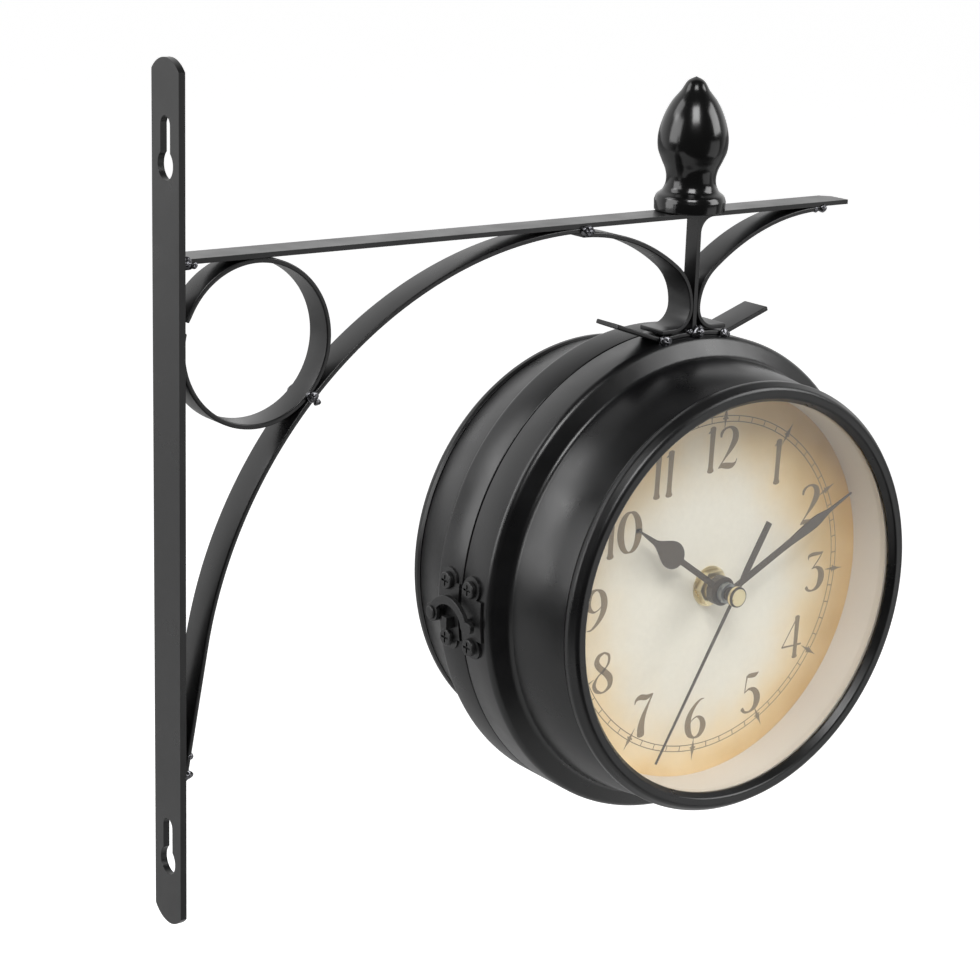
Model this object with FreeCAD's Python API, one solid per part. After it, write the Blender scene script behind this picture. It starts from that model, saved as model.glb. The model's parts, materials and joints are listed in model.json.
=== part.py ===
import FreeCAD, Part
import math
import os
from FreeCAD import Vector

# Double sided station clock on a scrolled wall bracket, in millimetres.
# Frame: +X points away from the wall, +Z is up, and the dial that shows in the
# usual view faces -Y. The origin is on the wall face of the strap, half way up.

# ---------------------------------------------------------------- wall strap
STRAP_LENGTH = 252.0
STRAP_WIDTH = 15.0
STRAP_THICKNESS = 2.0
STRAP_END_RISE = 3.5            # how far each end's arc stands past its corners
KEYHOLE_SEAT_PITCH = 203.5      # between the two seated screws
KEYHOLE_SEAT_MIDDLE = 6.1       # height of the middle of the two seats
KEYHOLE_SLOT_RADIUS = 2.6
KEYHOLE_ENTRY_RADIUS = 4.2
KEYHOLE_DROP = 10.7             # from the seat down to the entry hole

# ------------------------------------------------------- flat bar of the arm
BAR_THICKNESS = 1.5
BAR_WIDTH = 11.0
ARM_TOP = 72.0                  # above the middle of the strap
ARM_REACH = 253.0               # from the wall to the free end
ARM_END_CHAMFER = 3.0
RING_WIDTH = 9.5
RING_GAP_START = 152.0          # degrees round the ring, from +X towards +Z
RING_GAP_END = 167.0
RING_TAIL = 3.2                 # straight end that turns back to the strap
BRACE_FOOT = -80.0              # where the brace leaves the strap
BRACE_LEAN = 10.0               # degrees from upright along its straight foot
BRACE_RUN = 40.0                # length of the straight foot

# -------------------------------------------------------------- clock drum
CLOCK_X = 188.3
BAND_RADIUS = 80.0
HANGER_DROP = 39.7              # from the top of the arm to the top of the drum
BAND_WIDTH = 13.4               # from the seam to the step, on each half
SEAM_Y = 6.5
SEAM_GAP = 0.4
CASE_WALL = 1.2
BAND_EDGE_FILLET = 2.6
STEP_RADIUS = 73.4              # root of the neck
STEP_DEPTH = 3.2
STEP_FILLET = 2.2
NECK_END_RADIUS = 70.4
FRONT_DEPTH = 42.0              # seam to the widest line of the bezel
REAR_DEPTH = 38.5
RIM_FILLET = 0.5

# ------------------------------------------------------- bezel, glass, dial
BEZEL_RADIUS = 71.0
BEZEL_CREST_RADIUS = 67.8
CREST_INNER = 1.6               # flat of the crest towards the glass
CREST_OUTER = 1.4               # flat of the crest towards the neck
CREST_INNER_ROUND = 1.2
CREST_OUTER_ROUND = 2.0
BEZEL_SIDE_ROUND = 1.6
BEZEL_RISE = 3.2                # crest in front of the bezel's widest line
BEZEL_BACK = 1.9                # back face behind the widest line
BEZEL_GROOVE = 0.6              # open groove between neck and bezel
BEZEL_SKIRT = 6.0
BEZEL_SKIRT_WALL = 1.2
APERTURE_RADIUS = 64.7
LIP_RISE = 1.1                  # lip's edge in front of the widest line
GLASS_THICKNESS = 2.0
GLASS_SEAT = 0.3                # glass front in front of the widest line
SEAT_CLEARANCE = 0.2
DIAL_SET_BACK = 16.8            # dial face behind the bezel's widest line
DIAL_THICKNESS = 1.0
SLEEVE_WALL = 1.2
SLEEVE_OFFSET = 0.3             # sleeve bore outside the aperture
SLEEVE_FLANGE = 1.0
SNAP_RING_WIRE = 0.9
SNAP_RING_ARC = 340.0

# -------------------------------------------------------------- movement
HOUSING_SIDE = 56.0
HOUSING_THICKNESS = 14.5
HOUSING_CORNER = 4.0
COVER_THICKNESS = 1.0
COVER_MARGIN = 0.5              # cover back from the housing's edges and the bay
BAY_WIDTH = 51.6
BAY_HEIGHT = 15.6
BAY_FLOOR = 1.5
BAY_EDGE = 1.6                  # wall below the battery bay
CELL_RADIUS = 7.05
CELL_LENGTH = 49.2
CELL_NUB_RADIUS = 2.6
CELL_NUB_LENGTH = 1.0
CONTACT_THICKNESS = 0.6
CONTACT_SIDE = 9.0
BUSHING_RADIUS = 4.0
BUSHING_BORE = 2.55
BUSHING_RISE = 3.7              # thread standing in front of the dial
NUT_ACROSS_FLATS = 11.0
NUT_THICKNESS = 2.5
WASHER_RADIUS = 6.8
WASHER_THICKNESS = 0.5
SOCKET_DEPTH = 9.0              # how far the hand arbors run into the housing
KNOB_RADIUS = 4.5
KNOB_LENGTH = 2.6
KNOB_GAP = 0.3
KNOB_STEM_RADIUS = 1.2
KNOB_SOCKET_DEPTH = 4.0
KNOB_PLACE = (11.0, 8.0)        # right of and above the hand axis
RUNNING_CLEARANCE = 0.05

# ----------------------------------------------------------------- hands
TIME_SECONDS = 10 * 3600 + 10 * 60 + 35
HAND_THICKNESS = 0.5
HAND_RIVETING = 0.4             # arbor turned over in front of its hub
HUB_LIP = 0.3                   # hub in front of its blade
HUB_GAP = 0.5                   # free space between one hub and the next
ARBOR_CLEARANCE = 0.06
HOUR_REACH = 44.8
HOUR_LEVEL = 6.2                # blade's back in front of the dial
HOUR_HUB_RADIUS = 4.8
HOUR_TUBE_RADIUS = 2.5
HOUR_STEM_WIDTH = 2.0
SPADE_BASE = 21.9               # where the stem runs into the spade
SPADE_WIDEST = 27.0
SPADE_WIDTH = 8.9
SPADE_NECK = 37.0               # where the spade has narrowed to its spike
SPADE_NECK_WIDTH = 1.7
HAND_TIP_WIDTH = 0.5
MINUTE_REACH = 59.0
MINUTE_LEVEL = 8.9
MINUTE_HUB_RADIUS = 3.3
MINUTE_ARBOR_RADIUS = 1.75
MINUTE_STEM_WIDTH = 2.3
LEAF_BASE = 26.0                # where the leaf starts to widen
LEAF_WIDEST = 41.0
LEAF_WIDTH = 4.0
LEAF_NECK = 49.7
LEAF_NECK_WIDTH = 1.2
SECOND_REACH = 59.5
SECOND_TAIL = 26.2
SECOND_TAIL_START = 9.5
SECOND_LEVEL = 12.3
SECOND_SHAFT_RADIUS = 0.6
SECOND_BLADE_WIDTH = 1.1
SECOND_TAIL_WIDTH = 2.4
SECOND_CAP_RADIUS = 3.4
SECOND_CAP_HEIGHT = 2.3

# ------------------------------------------------------- hanger and finial
SADDLE_ARC = 18.0               # degrees of the drum that the saddle covers
WING_LENGTH = 19.2
WING_ANGLE = 19.0
WING_BEND = 2.5
POST_WIDTH = 5.5                # half as wide as the scrolls, flush with their -Y edges
GUSSET_RADIUS = 5.0
SCROLL_TUCK_RADIUS = 7.7        # tight turn where a scroll lands on the saddle
SCROLL_FOOT = 5.0
INNER_SCROLL_TIGHT = 0.644      # radius of each scroll's tighter arc, as a share of its drop
OUTER_SCROLL_TIGHT = 0.57
OUTER_SCROLL_INSET = 11.2       # scroll end back from the arm's free end
FINIAL_FOOT_CHAMFER = 0.6
# (height above the arm, radius) up the finial: foot, cove, neck, bulb, point
FINIAL_PROFILE = ((3.3, 11.4), (4.9, 10.8), (6.5, 9.0), (8.1, 8.2), (10.6, 7.9),
                  (12.8, 8.3), (16.0, 9.7), (19.1, 10.9), (22.3, 11.2), (28.5, 10.0),
                  (34.8, 7.0), (37.9, 4.5), (41.0, 2.4), (42.2, 0.0))
FINIAL_STUD_RADIUS = 2.0
FINIAL_STUD_RISE = 16.0
WELD_RADIUS = 1.9
SADDLE_BEAD_LIFT = 0.6          # middle of a saddle bead above the drum

# ------------------------------------------------------------ case hinge
HINGE_KNUCKLE_RADIUS = 2.0
HINGE_PIN_RADIUS = 1.0
HINGE_STANDOFF = 0.4            # knuckle clear of the bands
HINGE_LEAF_THICKNESS = 1.0
HINGE_LEAF_HEIGHT = 24.0
HINGE_LEAF_REACH = 10.0
HINGE_RIVET_INSET = 4.0         # rivets back from the leaf's outer edge
HINGE_KNUCKLE_GAP = 0.3
HINGE_PIN_HEAD_RADIUS = 1.7
HINGE_PIN_HEAD = 1.0
RIVET_RADIUS = 1.2
RIVET_HEAD_RADIUS = 2.1
RIVET_HEAD = 0.8

# ---------------------------------------------------------------- latch
LATCH_DROP = 3.3                # latch middle below the drum's middle
LATCH_PLATE_THICKNESS = 0.8
LATCH_SCREW_SPREAD = 9.5        # screw rows above and below the latch middle
LATCH_SCREW_INSET = 5.4         # front screws from the seam
LATCH_REAR_SCREW_INSET = 6.5    # rear screws from the seam
LATCH_LOBE_RADIUS = 4.1
LATCH_SEAM_MARGIN = 0.8
LATCH_FRONT_REACH = 11.0
LATCH_PIVOT_REACH = 10.5        # lever's rivet from the seam
LATCH_PIVOT_DROP = 1.7          # rivet below the latch middle
LATCH_PIVOT_RADIUS = 1.2
LATCH_BOSS_RADIUS = 3.0
LEVER_THICKNESS = 1.6
LEVER_LIFT = 2.6                # lever's underside above the band
LEVER_ARC_REACH = 8.4           # from the pivot forward to the middle of the lever's arc
LEVER_ARC_DROP = 3.5            # middle of the arc below the pivot
LEVER_ARC_RADIUS = 9.5
LEVER_WIDTH = 2.8
LEVER_TAB_REACH = 2.2           # finger tab past the arc's end
LEVER_TAB_RADIUS = 1.7
TONGUE_START = 3.0              # tongue from the seam
TONGUE_WIDTH = 2.6
TONGUE_LENGTH = 3.8
TONGUE_HEIGHT = 3.6             # rear plate's tongue above the band
CATCH_HEIGHT = 2.3              # front plate's catch above the band
SCREW_HEAD_RADIUS = 2.8
SCREW_HEAD = 1.4
SCREW_SHANK_RADIUS = 1.3
SCREW_SHANK_LENGTH = 5.0
SCREW_SLOT_WIDTH = 0.7
SCREW_SLOT_LENGTH = 3.6
SCREW_SLOT_DEPTH = 0.6

# ------------------------------------------------------- derived places
ARM_UNDERSIDE = ARM_TOP - BAR_THICKNESS
CLOCK_Z = ARM_TOP - HANGER_DROP - BAND_RADIUS
SADDLE_TOP = CLOCK_Z + BAND_RADIUS + BAR_THICKNESS
AXIS = Vector(CLOCK_X, 0, CLOCK_Z)
HALF_BAR = BAR_THICKNESS / 2
FAR = 400.0                     # longer than anything cut with it

os.makedirs("parts", exist_ok=True)


def save(node, shape):
    """Write one node's solid, or its group of solids, to parts/."""
    if shape.ShapeType == "Compound" and len(shape.Solids) == 1:
        shape = shape.Solids[0]
    print("%-24s solids %2d  valid %s  volume %9.1f"
          % (node, len(shape.Solids), shape.isValid(), shape.Volume))
    shape.exportStep("parts/%s.step" % node)


def group(solids):
    """Join several separate solids into one node without fusing them."""
    return Part.makeCompound([piece for shape in solids for piece in shape.Solids])


def box(low, high):
    """Block between two opposite corners."""
    size = [b - a for a, b in zip(low, high)]
    return Part.makeBox(*size, Vector(*low))


def rounded_outline(corners):
    """Closed 2-D outline as edges; each corner is (u, v, fillet radius)."""
    count = len(corners)
    cuts = []
    for i, (u, v, radius) in enumerate(corners):
        here = Vector(u, v, 0)
        back = Vector(corners[i - 1][0], corners[i - 1][1], 0) - here
        ahead = Vector(corners[(i + 1) % count][0], corners[(i + 1) % count][1], 0) - here
        back.normalize()
        ahead.normalize()
        opening = back.getAngle(ahead)
        if radius <= 0 or opening > math.pi - 1e-6:
            cuts.append((here, None, here))
            continue
        reach = radius / math.tan(opening / 2)
        centre = here + (back + ahead).normalize() * (radius / math.sin(opening / 2))
        middle = centre + (here - centre).normalize() * radius
        cuts.append((here + back * reach, middle, here + ahead * reach))
    edges = []
    for i, (start, middle, end) in enumerate(cuts):
        if middle is not None:
            edges.append(Part.Arc(start, middle, end).toShape())
        following = cuts[(i + 1) % count][0]
        if (following - end).Length > 1e-7:
            edges.append(Part.LineSegment(end, following).toShape())
    return Part.Wire(edges)


def turned(corners):
    """Ring turned about the clock axis from an outline in (radius, distance in front of the seam)."""
    face = Part.Face(rounded_outline(corners))
    face = face.mirror(Vector(0, 0, 0), Vector(0, 1, 0))
    face.translate(Vector(CLOCK_X, SEAM_Y, CLOCK_Z))
    return face.revolve(AXIS, Vector(0, 1, 0), 360)


def inset(corners, wall):
    """Open outline moved inwards by the wall, its fillets following, in reverse order."""
    lines = []
    for (u0, v0, _), (u1, v1, _) in zip(corners, corners[1:]):
        length = math.hypot(u1 - u0, v1 - v0)
        normal = ((v0 - v1) / length * wall, (u1 - u0) / length * wall)
        lines.append(((u0 + normal[0], v0 + normal[1]), (u1 + normal[0], v1 + normal[1])))
    moved = [(lines[0][0][0], lines[0][0][1], 0)]
    for i in range(1, len(lines)):
        (a, b), (c, d) = lines[i - 1]
        (e, f), (g, h) = lines[i]
        cross = (c - a) * (h - f) - (d - b) * (g - e)
        share = ((e - a) * (h - f) - (f - b) * (g - e)) / cross
        radius = corners[i][2]
        radius = radius + wall if cross < 0 else max(radius - wall, RIM_FILLET)
        moved.append((a + share * (c - a), b + share * (d - b), radius))
    moved.append((lines[-1][1][0], lines[-1][1][1], 0))
    return moved[::-1]


def ribbon(start, heading, moves, width, side, thickness=BAR_THICKNESS):
    """Flat bar bent along a path in the X-Z plane and centred on Y.

    The path is one face of the bar. Moves are ("run", length) or
    ("bend", radius, degrees), where positive degrees turn left. The bar's
    thickness lies to the left of the path for side 1, to the right for -1.
    """
    x, z = start
    angle = math.radians(heading)
    near, far = [], []

    def spot(px, pz):
        return Vector(px, -width / 2, pz)

    for move in moves:
        if move[0] == "run":
            nx, nz = -math.sin(angle) * side * thickness, math.cos(angle) * side * thickness
            x1, z1 = x + move[1] * math.cos(angle), z + move[1] * math.sin(angle)
            near.append(Part.LineSegment(spot(x, z), spot(x1, z1)).toShape())
            far.append(Part.LineSegment(spot(x + nx, z + nz), spot(x1 + nx, z1 + nz)).toShape())
            x, z = x1, z1
            continue
        radius, turn = move[1], math.radians(move[2])
        hand = 1 if turn > 0 else -1
        cx, cz = x - hand * radius * math.sin(angle), z + hand * radius * math.cos(angle)
        first = angle - hand * math.pi / 2
        for edges, r in ((near, radius), (far, radius - hand * side * thickness)):
            points = [spot(cx + r * math.cos(first + turn * k / 2), cz + r * math.sin(first + turn * k / 2))
                      for k in range(3)]
            edges.append(Part.Arc(*points).toShape())
        angle += turn
        x, z = cx + radius * math.cos(first + turn), cz + radius * math.sin(first + turn)
    ends = [Part.LineSegment(near[0].Vertexes[0].Point, far[0].Vertexes[0].Point).toShape(),
            Part.LineSegment(near[-1].Vertexes[-1].Point, far[-1].Vertexes[-1].Point).toShape()]
    outline = Part.Wire(Part.__sortEdges__(near + far + ends))
    return Part.Face(outline).extrude(Vector(0, width, 0))


def mirrored_about_clock(shape):
    """The same shape on the other side of the hanger post."""
    return shape.mirror(Vector(CLOCK_X, 0, 0), Vector(1, 0, 0))


# ================================================================ bracket
def keyhole(seat_z):
    """Cutter for one keyhole, narrow at the top where the screw seats."""
    entry_z = seat_z - KEYHOLE_DROP
    start = Vector(-1, 0, seat_z)
    slot = Part.makeCylinder(KEYHOLE_SLOT_RADIUS, FAR, start, Vector(1, 0, 0))
    entry = Part.makeCylinder(KEYHOLE_ENTRY_RADIUS, FAR, Vector(-1, 0, entry_z), Vector(1, 0, 0))
    neck = box((-1, -KEYHOLE_SLOT_RADIUS, entry_z), (FAR, KEYHOLE_SLOT_RADIUS, seat_z))
    return slot.fuse([entry, neck])


def wall_strap():
    """Upright strap with arched ends and two keyholes."""
    half = STRAP_WIDTH / 2
    corner = STRAP_LENGTH / 2 - STRAP_END_RISE
    tip = STRAP_LENGTH / 2
    points = [Vector(0, -half, -corner), Vector(0, 0, -tip), Vector(0, half, -corner),
              Vector(0, half, corner), Vector(0, 0, tip), Vector(0, -half, corner)]
    outline = Part.Wire([Part.Arc(*points[:3]).toShape(), Part.LineSegment(points[2], points[3]).toShape(),
                         Part.Arc(*points[3:]).toShape(), Part.LineSegment(points[5], points[0]).toShape()])
    strap = Part.Face(outline).extrude(Vector(STRAP_THICKNESS, 0, 0))
    for sign in (1, -1):
        strap = strap.cut(keyhole(KEYHOLE_SEAT_MIDDLE + sign * KEYHOLE_SEAT_PITCH / 2))
    return strap


def arm_bar():
    """Level bar from the strap to its chamfered free end, drilled for the finial's stud."""
    half = BAR_WIDTH / 2
    tip = ARM_REACH - ARM_END_CHAMFER
    points = [(STRAP_THICKNESS, -half), (ARM_REACH, -half), (ARM_REACH, half - ARM_END_CHAMFER),
              (tip, half), (STRAP_THICKNESS, half)]
    corners = [Vector(x, y, ARM_UNDERSIDE) for x, y in points]
    bar = Part.Face(Part.makePolygon(corners + corners[:1])).extrude(Vector(0, 0, BAR_THICKNESS))
    hole = Part.makeCylinder(FINIAL_STUD_RADIUS, FAR, Vector(CLOCK_X, 0, -FAR / 2), Vector(0, 0, 1))
    return bar.cut(hole)


def brace_geometry():
    """Outer radius of the brace's arc and the place where it meets the arm."""
    lean = math.radians(BRACE_LEAN)
    foot_top = BRACE_FOOT + BRACE_RUN * math.cos(lean)
    radius = (ARM_UNDERSIDE - foot_top) / (1 - math.sin(lean))
    end_x = STRAP_THICKNESS + BRACE_RUN * math.sin(lean) + radius * math.cos(lean)
    return radius, end_x


def brace_arc():
    """Long strip that leans off the strap and sweeps up to lie against the arm."""
    radius, _ = brace_geometry()
    moves = [("run", BRACE_RUN), ("bend", radius, -(90 - BRACE_LEAN))]
    return ribbon((STRAP_THICKNESS, BRACE_FOOT), 90 - BRACE_LEAN, moves, BAR_WIDTH, -1)


def ring_geometry():
    """Radius and middle of the circle that touches the strap, the arm and the brace."""
    brace_radius, end_x = brace_geometry()
    a = end_x - STRAP_THICKNESS
    b = brace_radius
    half_sum = a + b + brace_radius
    radius = half_sum - math.sqrt(half_sum ** 2 - a ** 2)
    return radius, STRAP_THICKNESS + radius, ARM_UNDERSIDE - radius


def corner_ring():
    """Rolled ring in the corner, open where its ends meet the strap."""
    radius, x, z = ring_geometry()
    first = math.radians(RING_GAP_END)
    start = (x + radius * math.cos(first), z + radius * math.sin(first))
    sweep = 360 - (RING_GAP_END - RING_GAP_START)
    return ribbon(start, RING_GAP_END + 90, [("bend", radius, sweep), ("run", RING_TAIL)], RING_WIDTH, 1)


def scroll(start_x, start_z, reach, tightness):
    """C-scroll from the arm down to the saddle, hugging the post; drawn for the wall side."""
    drop = start_z - SADDLE_TOP - SCROLL_TUCK_RADIUS
    longer, shorter = max(reach, drop), min(reach, drop)
    tight = shorter * tightness
    # wide arc R through the angle a along the longer side, tight arc r for the rest of the quarter:
    # (R - r)(1 - cos a) = shorter - r and (R - r) sin a = longer - r
    split = 2 * math.atan2(shorter - tight, longer - tight)
    wide = tight + (longer - tight) / math.sin(split)
    quarter = math.degrees(math.pi / 2)
    arcs = [("bend", wide, -math.degrees(split)), ("bend", tight, math.degrees(split) - quarter)]
    if reach < drop:
        arcs.reverse()
    moves = arcs + [("bend", SCROLL_TUCK_RADIUS, -quarter), ("run", SCROLL_FOOT)]
    return ribbon((start_x, start_z), 0, moves, BAR_WIDTH, -1)


def inner_scroll():
    """Scroll on the wall side, lapped under the end of the brace."""
    _, end_x = brace_geometry()
    post_face = CLOCK_X - HALF_BAR
    return scroll(end_x, ARM_UNDERSIDE - BAR_THICKNESS, post_face - end_x, INNER_SCROLL_TIGHT)


def outer_scroll():
    """Scroll on the free side, from near the arm's end."""
    reach = ARM_REACH - OUTER_SCROLL_INSET - CLOCK_X - HALF_BAR
    wall_side = scroll(CLOCK_X - HALF_BAR - reach, ARM_UNDERSIDE, reach, OUTER_SCROLL_TIGHT)
    return mirrored_about_clock(wall_side)


def hanger_post():
    """Narrow upright strip flush with one edge of the scrolls, with a curved gusset under the arm."""
    near = -BAR_WIDTH / 2
    far = near + POST_WIDTH
    post = box((CLOCK_X - HALF_BAR, near, SADDLE_TOP), (CLOCK_X + HALF_BAR, far, ARM_UNDERSIDE))
    corner_x = CLOCK_X + HALF_BAR
    block = box((corner_x, near, ARM_UNDERSIDE - GUSSET_RADIUS),
                (corner_x + GUSSET_RADIUS, far, ARM_UNDERSIDE))
    middle = Vector(corner_x + GUSSET_RADIUS, -FAR / 2, ARM_UNDERSIDE - GUSSET_RADIUS)
    round_cut = Part.makeCylinder(GUSSET_RADIUS, FAR, middle, Vector(0, 1, 0))
    return post.fuse(block.cut(round_cut)).removeSplitter()


def saddle_strip():
    """Strip bent to the drum with two turned-up wings."""
    half_arc = SADDLE_ARC / 2
    moves = [("bend", BAND_RADIUS, -half_arc), ("bend", WING_BEND, half_arc + WING_ANGLE),
             ("run", WING_LENGTH)]
    right = ribbon((CLOCK_X, CLOCK_Z + BAND_RADIUS), 0, moves, BAR_WIDTH, 1)
    return right.fuse(mirrored_about_clock(right)).removeSplitter()


def weld_beads():
    """Welding beads on the edges of the strips where they meet, flat against the edge."""
    edge = BAR_WIDTH / 2
    root = STRAP_THICKNESS + WELD_RADIUS + SEAT_CLEARANCE
    ring_radius, ring_x, ring_z = ring_geometry()
    brace_radius, end_x = brace_geometry()
    touch = math.atan2(ARM_UNDERSIDE - brace_radius - ring_z, end_x - ring_x)
    scroll_start = end_x + WELD_RADIUS
    bar_middle = ARM_TOP - HALF_BAR
    places = [(root, bar_middle, -1), (root, bar_middle, 1), (root, BRACE_FOOT + WELD_RADIUS, -1),
              (root, BRACE_FOOT + WELD_RADIUS, 1), (root, BRACE_FOOT + 4 * WELD_RADIUS, -1),
              (ring_x + ring_radius * math.cos(touch), ring_z + ring_radius * math.sin(touch), -1),
              (ring_x + ring_radius * math.cos(touch), ring_z + ring_radius * math.sin(touch), 1),
              (scroll_start, ARM_UNDERSIDE - HALF_BAR, -1), (scroll_start, ARM_UNDERSIDE - HALF_BAR, 1),
              (ARM_REACH - OUTER_SCROLL_INSET, ARM_UNDERSIDE - HALF_BAR, -1),
              (ARM_REACH - OUTER_SCROLL_INSET, ARM_UNDERSIDE - HALF_BAR, 1)]
    beads = []
    for x, z, side in places:
        outside = sorted((side * edge, side * FAR))
        bead = Part.makeSphere(WELD_RADIUS, Vector(x, side * edge, z))
        beads.append(bead.common(box((x - FAR, outside[0], z - FAR), (x + FAR, outside[1], z + FAR))))
    # fillet welds between the saddle's edge and the drum, at each scroll's foot and under the post
    drum_start = Vector(CLOCK_X, SEAM_Y - FAR, CLOCK_Z)
    drum = Part.makeCylinder(BAND_RADIUS, FAR, drum_start, Vector(0, 1, 0))
    seat = BAND_RADIUS + SADDLE_BEAD_LIFT
    for offset in (-SCROLL_TUCK_RADIUS - SCROLL_FOOT, BAR_THICKNESS, SCROLL_TUCK_RADIUS + SCROLL_FOOT):
        x = CLOCK_X + offset
        z = CLOCK_Z + math.sqrt(seat ** 2 - offset ** 2)
        bead = Part.makeSphere(WELD_RADIUS, Vector(x, -edge, z))
        beads.append(bead.common(box((x - FAR, -FAR, z - FAR), (x + FAR, -edge, z + FAR))).cut(drum))
    return group(beads)


def finial():
    """Turned acorn finial with a moulded foot and a blind hole for its stud."""
    def at(height, radius):
        return Vector(CLOCK_X + radius, 0, ARM_TOP + height)

    foot_height, foot_radius = FINIAL_PROFILE[0]
    tip_height = FINIAL_PROFILE[-1][0]
    foot = [at(0, 0), at(0, foot_radius - FINIAL_FOOT_CHAMFER), at(FINIAL_FOOT_CHAMFER, foot_radius),
            at(foot_height, foot_radius)]
    side = Part.BSplineCurve()
    side.interpolate([at(height, radius) for height, radius in FINIAL_PROFILE])
    edges = [Part.LineSegment(foot[i], foot[i + 1]).toShape() for i in range(3)]
    edges += [side.toShape(), Part.LineSegment(at(tip_height, 0), foot[0]).toShape()]
    body = Part.Face(Part.Wire(edges)).revolve(Vector(CLOCK_X, 0, 0), Vector(0, 0, 1), 360)
    return body.cut(Part.makeCylinder(FINIAL_STUD_RADIUS, FINIAL_STUD_RISE, at(0, 0)))


def finial_stud():
    """Threaded stud through the arm, flush with its underside."""
    foot = Vector(CLOCK_X, 0, ARM_UNDERSIDE)
    return Part.makeCylinder(FINIAL_STUD_RADIUS, BAR_THICKNESS + FINIAL_STUD_RISE, foot)


# ============================================== one half of the clock, front
def neck_corners(depth):
    """Outer outline of one half case from the seam to the end of its neck."""
    return [(BAND_RADIUS, SEAM_GAP / 2, 0), (BAND_RADIUS, BAND_WIDTH, BAND_EDGE_FILLET),
            (STEP_RADIUS, BAND_WIDTH + STEP_DEPTH, STEP_FILLET),
            (NECK_END_RADIUS, depth - BEZEL_BACK - BEZEL_GROOVE, 0)]


def neck_bore(depth, distance):
    """Radius inside the neck at a distance in front of the seam."""
    start = BAND_WIDTH + STEP_DEPTH
    end = depth - BEZEL_BACK - BEZEL_GROOVE
    share = (distance - start) / (end - start)
    slope = math.atan2(STEP_RADIUS - NECK_END_RADIUS, end - start)
    return STEP_RADIUS + (NECK_END_RADIUS - STEP_RADIUS) * share - CASE_WALL / math.cos(slope)


def half_case(depth):
    """Pressed shell: band, rounded step and tapered neck, one wall thick."""
    outer = neck_corners(depth)
    return turned(outer + inset(outer, CASE_WALL))


def bezel(depth):
    """Rolled ring that holds the glass, with a skirt that slides into the neck."""
    back = depth - BEZEL_BACK
    seat = depth + GLASS_SEAT
    outer = NECK_END_RADIUS - CASE_WALL - SEAT_CLEARANCE
    inner = outer - BEZEL_SKIRT_WALL
    crest = depth + BEZEL_RISE
    return turned([(APERTURE_RADIUS, seat, 0), (APERTURE_RADIUS, depth + LIP_RISE, RIM_FILLET),
                   (BEZEL_CREST_RADIUS - CREST_INNER, crest, CREST_INNER_ROUND),
                   (BEZEL_CREST_RADIUS + CREST_OUTER, crest, CREST_OUTER_ROUND),
                   (BEZEL_RADIUS, depth + RIM_FILLET, BEZEL_SIDE_ROUND), (BEZEL_RADIUS, back, RIM_FILLET),
                   (outer, back, 0), (outer, back - BEZEL_SKIRT, 0), (inner, back - BEZEL_SKIRT, 0),
                   (inner, seat, 0)])


def disc(radius, near, far, bore=0.0):
    """Plain disc about the clock axis between two distances in front of the seam."""
    start = Vector(CLOCK_X, SEAM_Y - near, CLOCK_Z)
    shape = Part.makeCylinder(radius, far - near, start, Vector(0, -1, 0))
    if bore:
        shape = shape.cut(Part.makeCylinder(bore, far - near, start, Vector(0, -1, 0)))
    return shape


def dial_face(depth):
    """Distance of the dial's printed face in front of the seam."""
    return depth - DIAL_SET_BACK


def glass(depth):
    """Flat pane seated against the bezel's lip."""
    front = depth + GLASS_SEAT
    radius = NECK_END_RADIUS - CASE_WALL - BEZEL_SKIRT_WALL - 2 * SEAT_CLEARANCE
    return disc(radius, front - GLASS_THICKNESS, front)


def sleeve(depth):
    """Plain inner wall between the dial and the glass, flanged on the dial."""
    face = dial_face(depth)
    bore = APERTURE_RADIUS + SLEEVE_OFFSET
    tube = disc(bore + SLEEVE_WALL, face, depth + GLASS_SEAT - GLASS_THICKNESS, bore)
    flange = disc(neck_bore(depth, face + SLEEVE_FLANGE) - SEAT_CLEARANCE, face, face + SLEEVE_FLANGE, bore)
    return tube.fuse(flange).removeSplitter()


def dial(depth):
    """Dial disc that fills the neck."""
    face = dial_face(depth)
    return disc(neck_bore(depth, face) - SEAT_CLEARANCE, face - DIAL_THICKNESS, face, BUSHING_RADIUS)


def snap_ring(depth):
    """Open wire ring sprung into the neck behind the dial."""
    back = dial_face(depth) - DIAL_THICKNESS
    radius = neck_bore(depth, back) - SNAP_RING_WIRE - SEAT_CLEARANCE
    centre = Vector(CLOCK_X + radius, SEAM_Y - back + SNAP_RING_WIRE, CLOCK_Z)
    wire = Part.Wire(Part.makeCircle(SNAP_RING_WIRE, centre, Vector(0, 0, 1)))
    ring = Part.Face(wire).revolve(AXIS, Vector(0, 1, 0), SNAP_RING_ARC)
    return ring.rotate(AXIS, Vector(0, 1, 0), 90 + (360 - SNAP_RING_ARC) / 2)


def local_box(depth_range, u_range, v_range):
    """Block given by distances in front of the seam, right of and above the clock axis."""
    return box((CLOCK_X + u_range[0], SEAM_Y - depth_range[1], CLOCK_Z + v_range[0]),
               (CLOCK_X + u_range[1], SEAM_Y - depth_range[0], CLOCK_Z + v_range[1]))


def knob_post(radius, near, far):
    """Round piece on the setting knob's own axis."""
    start = Vector(CLOCK_X + KNOB_PLACE[0], SEAM_Y - near, CLOCK_Z + KNOB_PLACE[1])
    return Part.makeCylinder(radius, far - near, start, Vector(0, -1, 0))


def housing_back(depth):
    """Back face of the movement's housing, in front of the seam."""
    return dial_face(depth) - DIAL_THICKNESS - HOUSING_THICKNESS


def bay_ranges(depth):
    """Depth and height ranges of the battery bay."""
    back = housing_back(depth)
    low = -HOUSING_SIDE / 2 + BAY_EDGE
    return (back - COVER_THICKNESS, back + HOUSING_THICKNESS - BAY_FLOOR), (low, low + BAY_HEIGHT)


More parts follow.
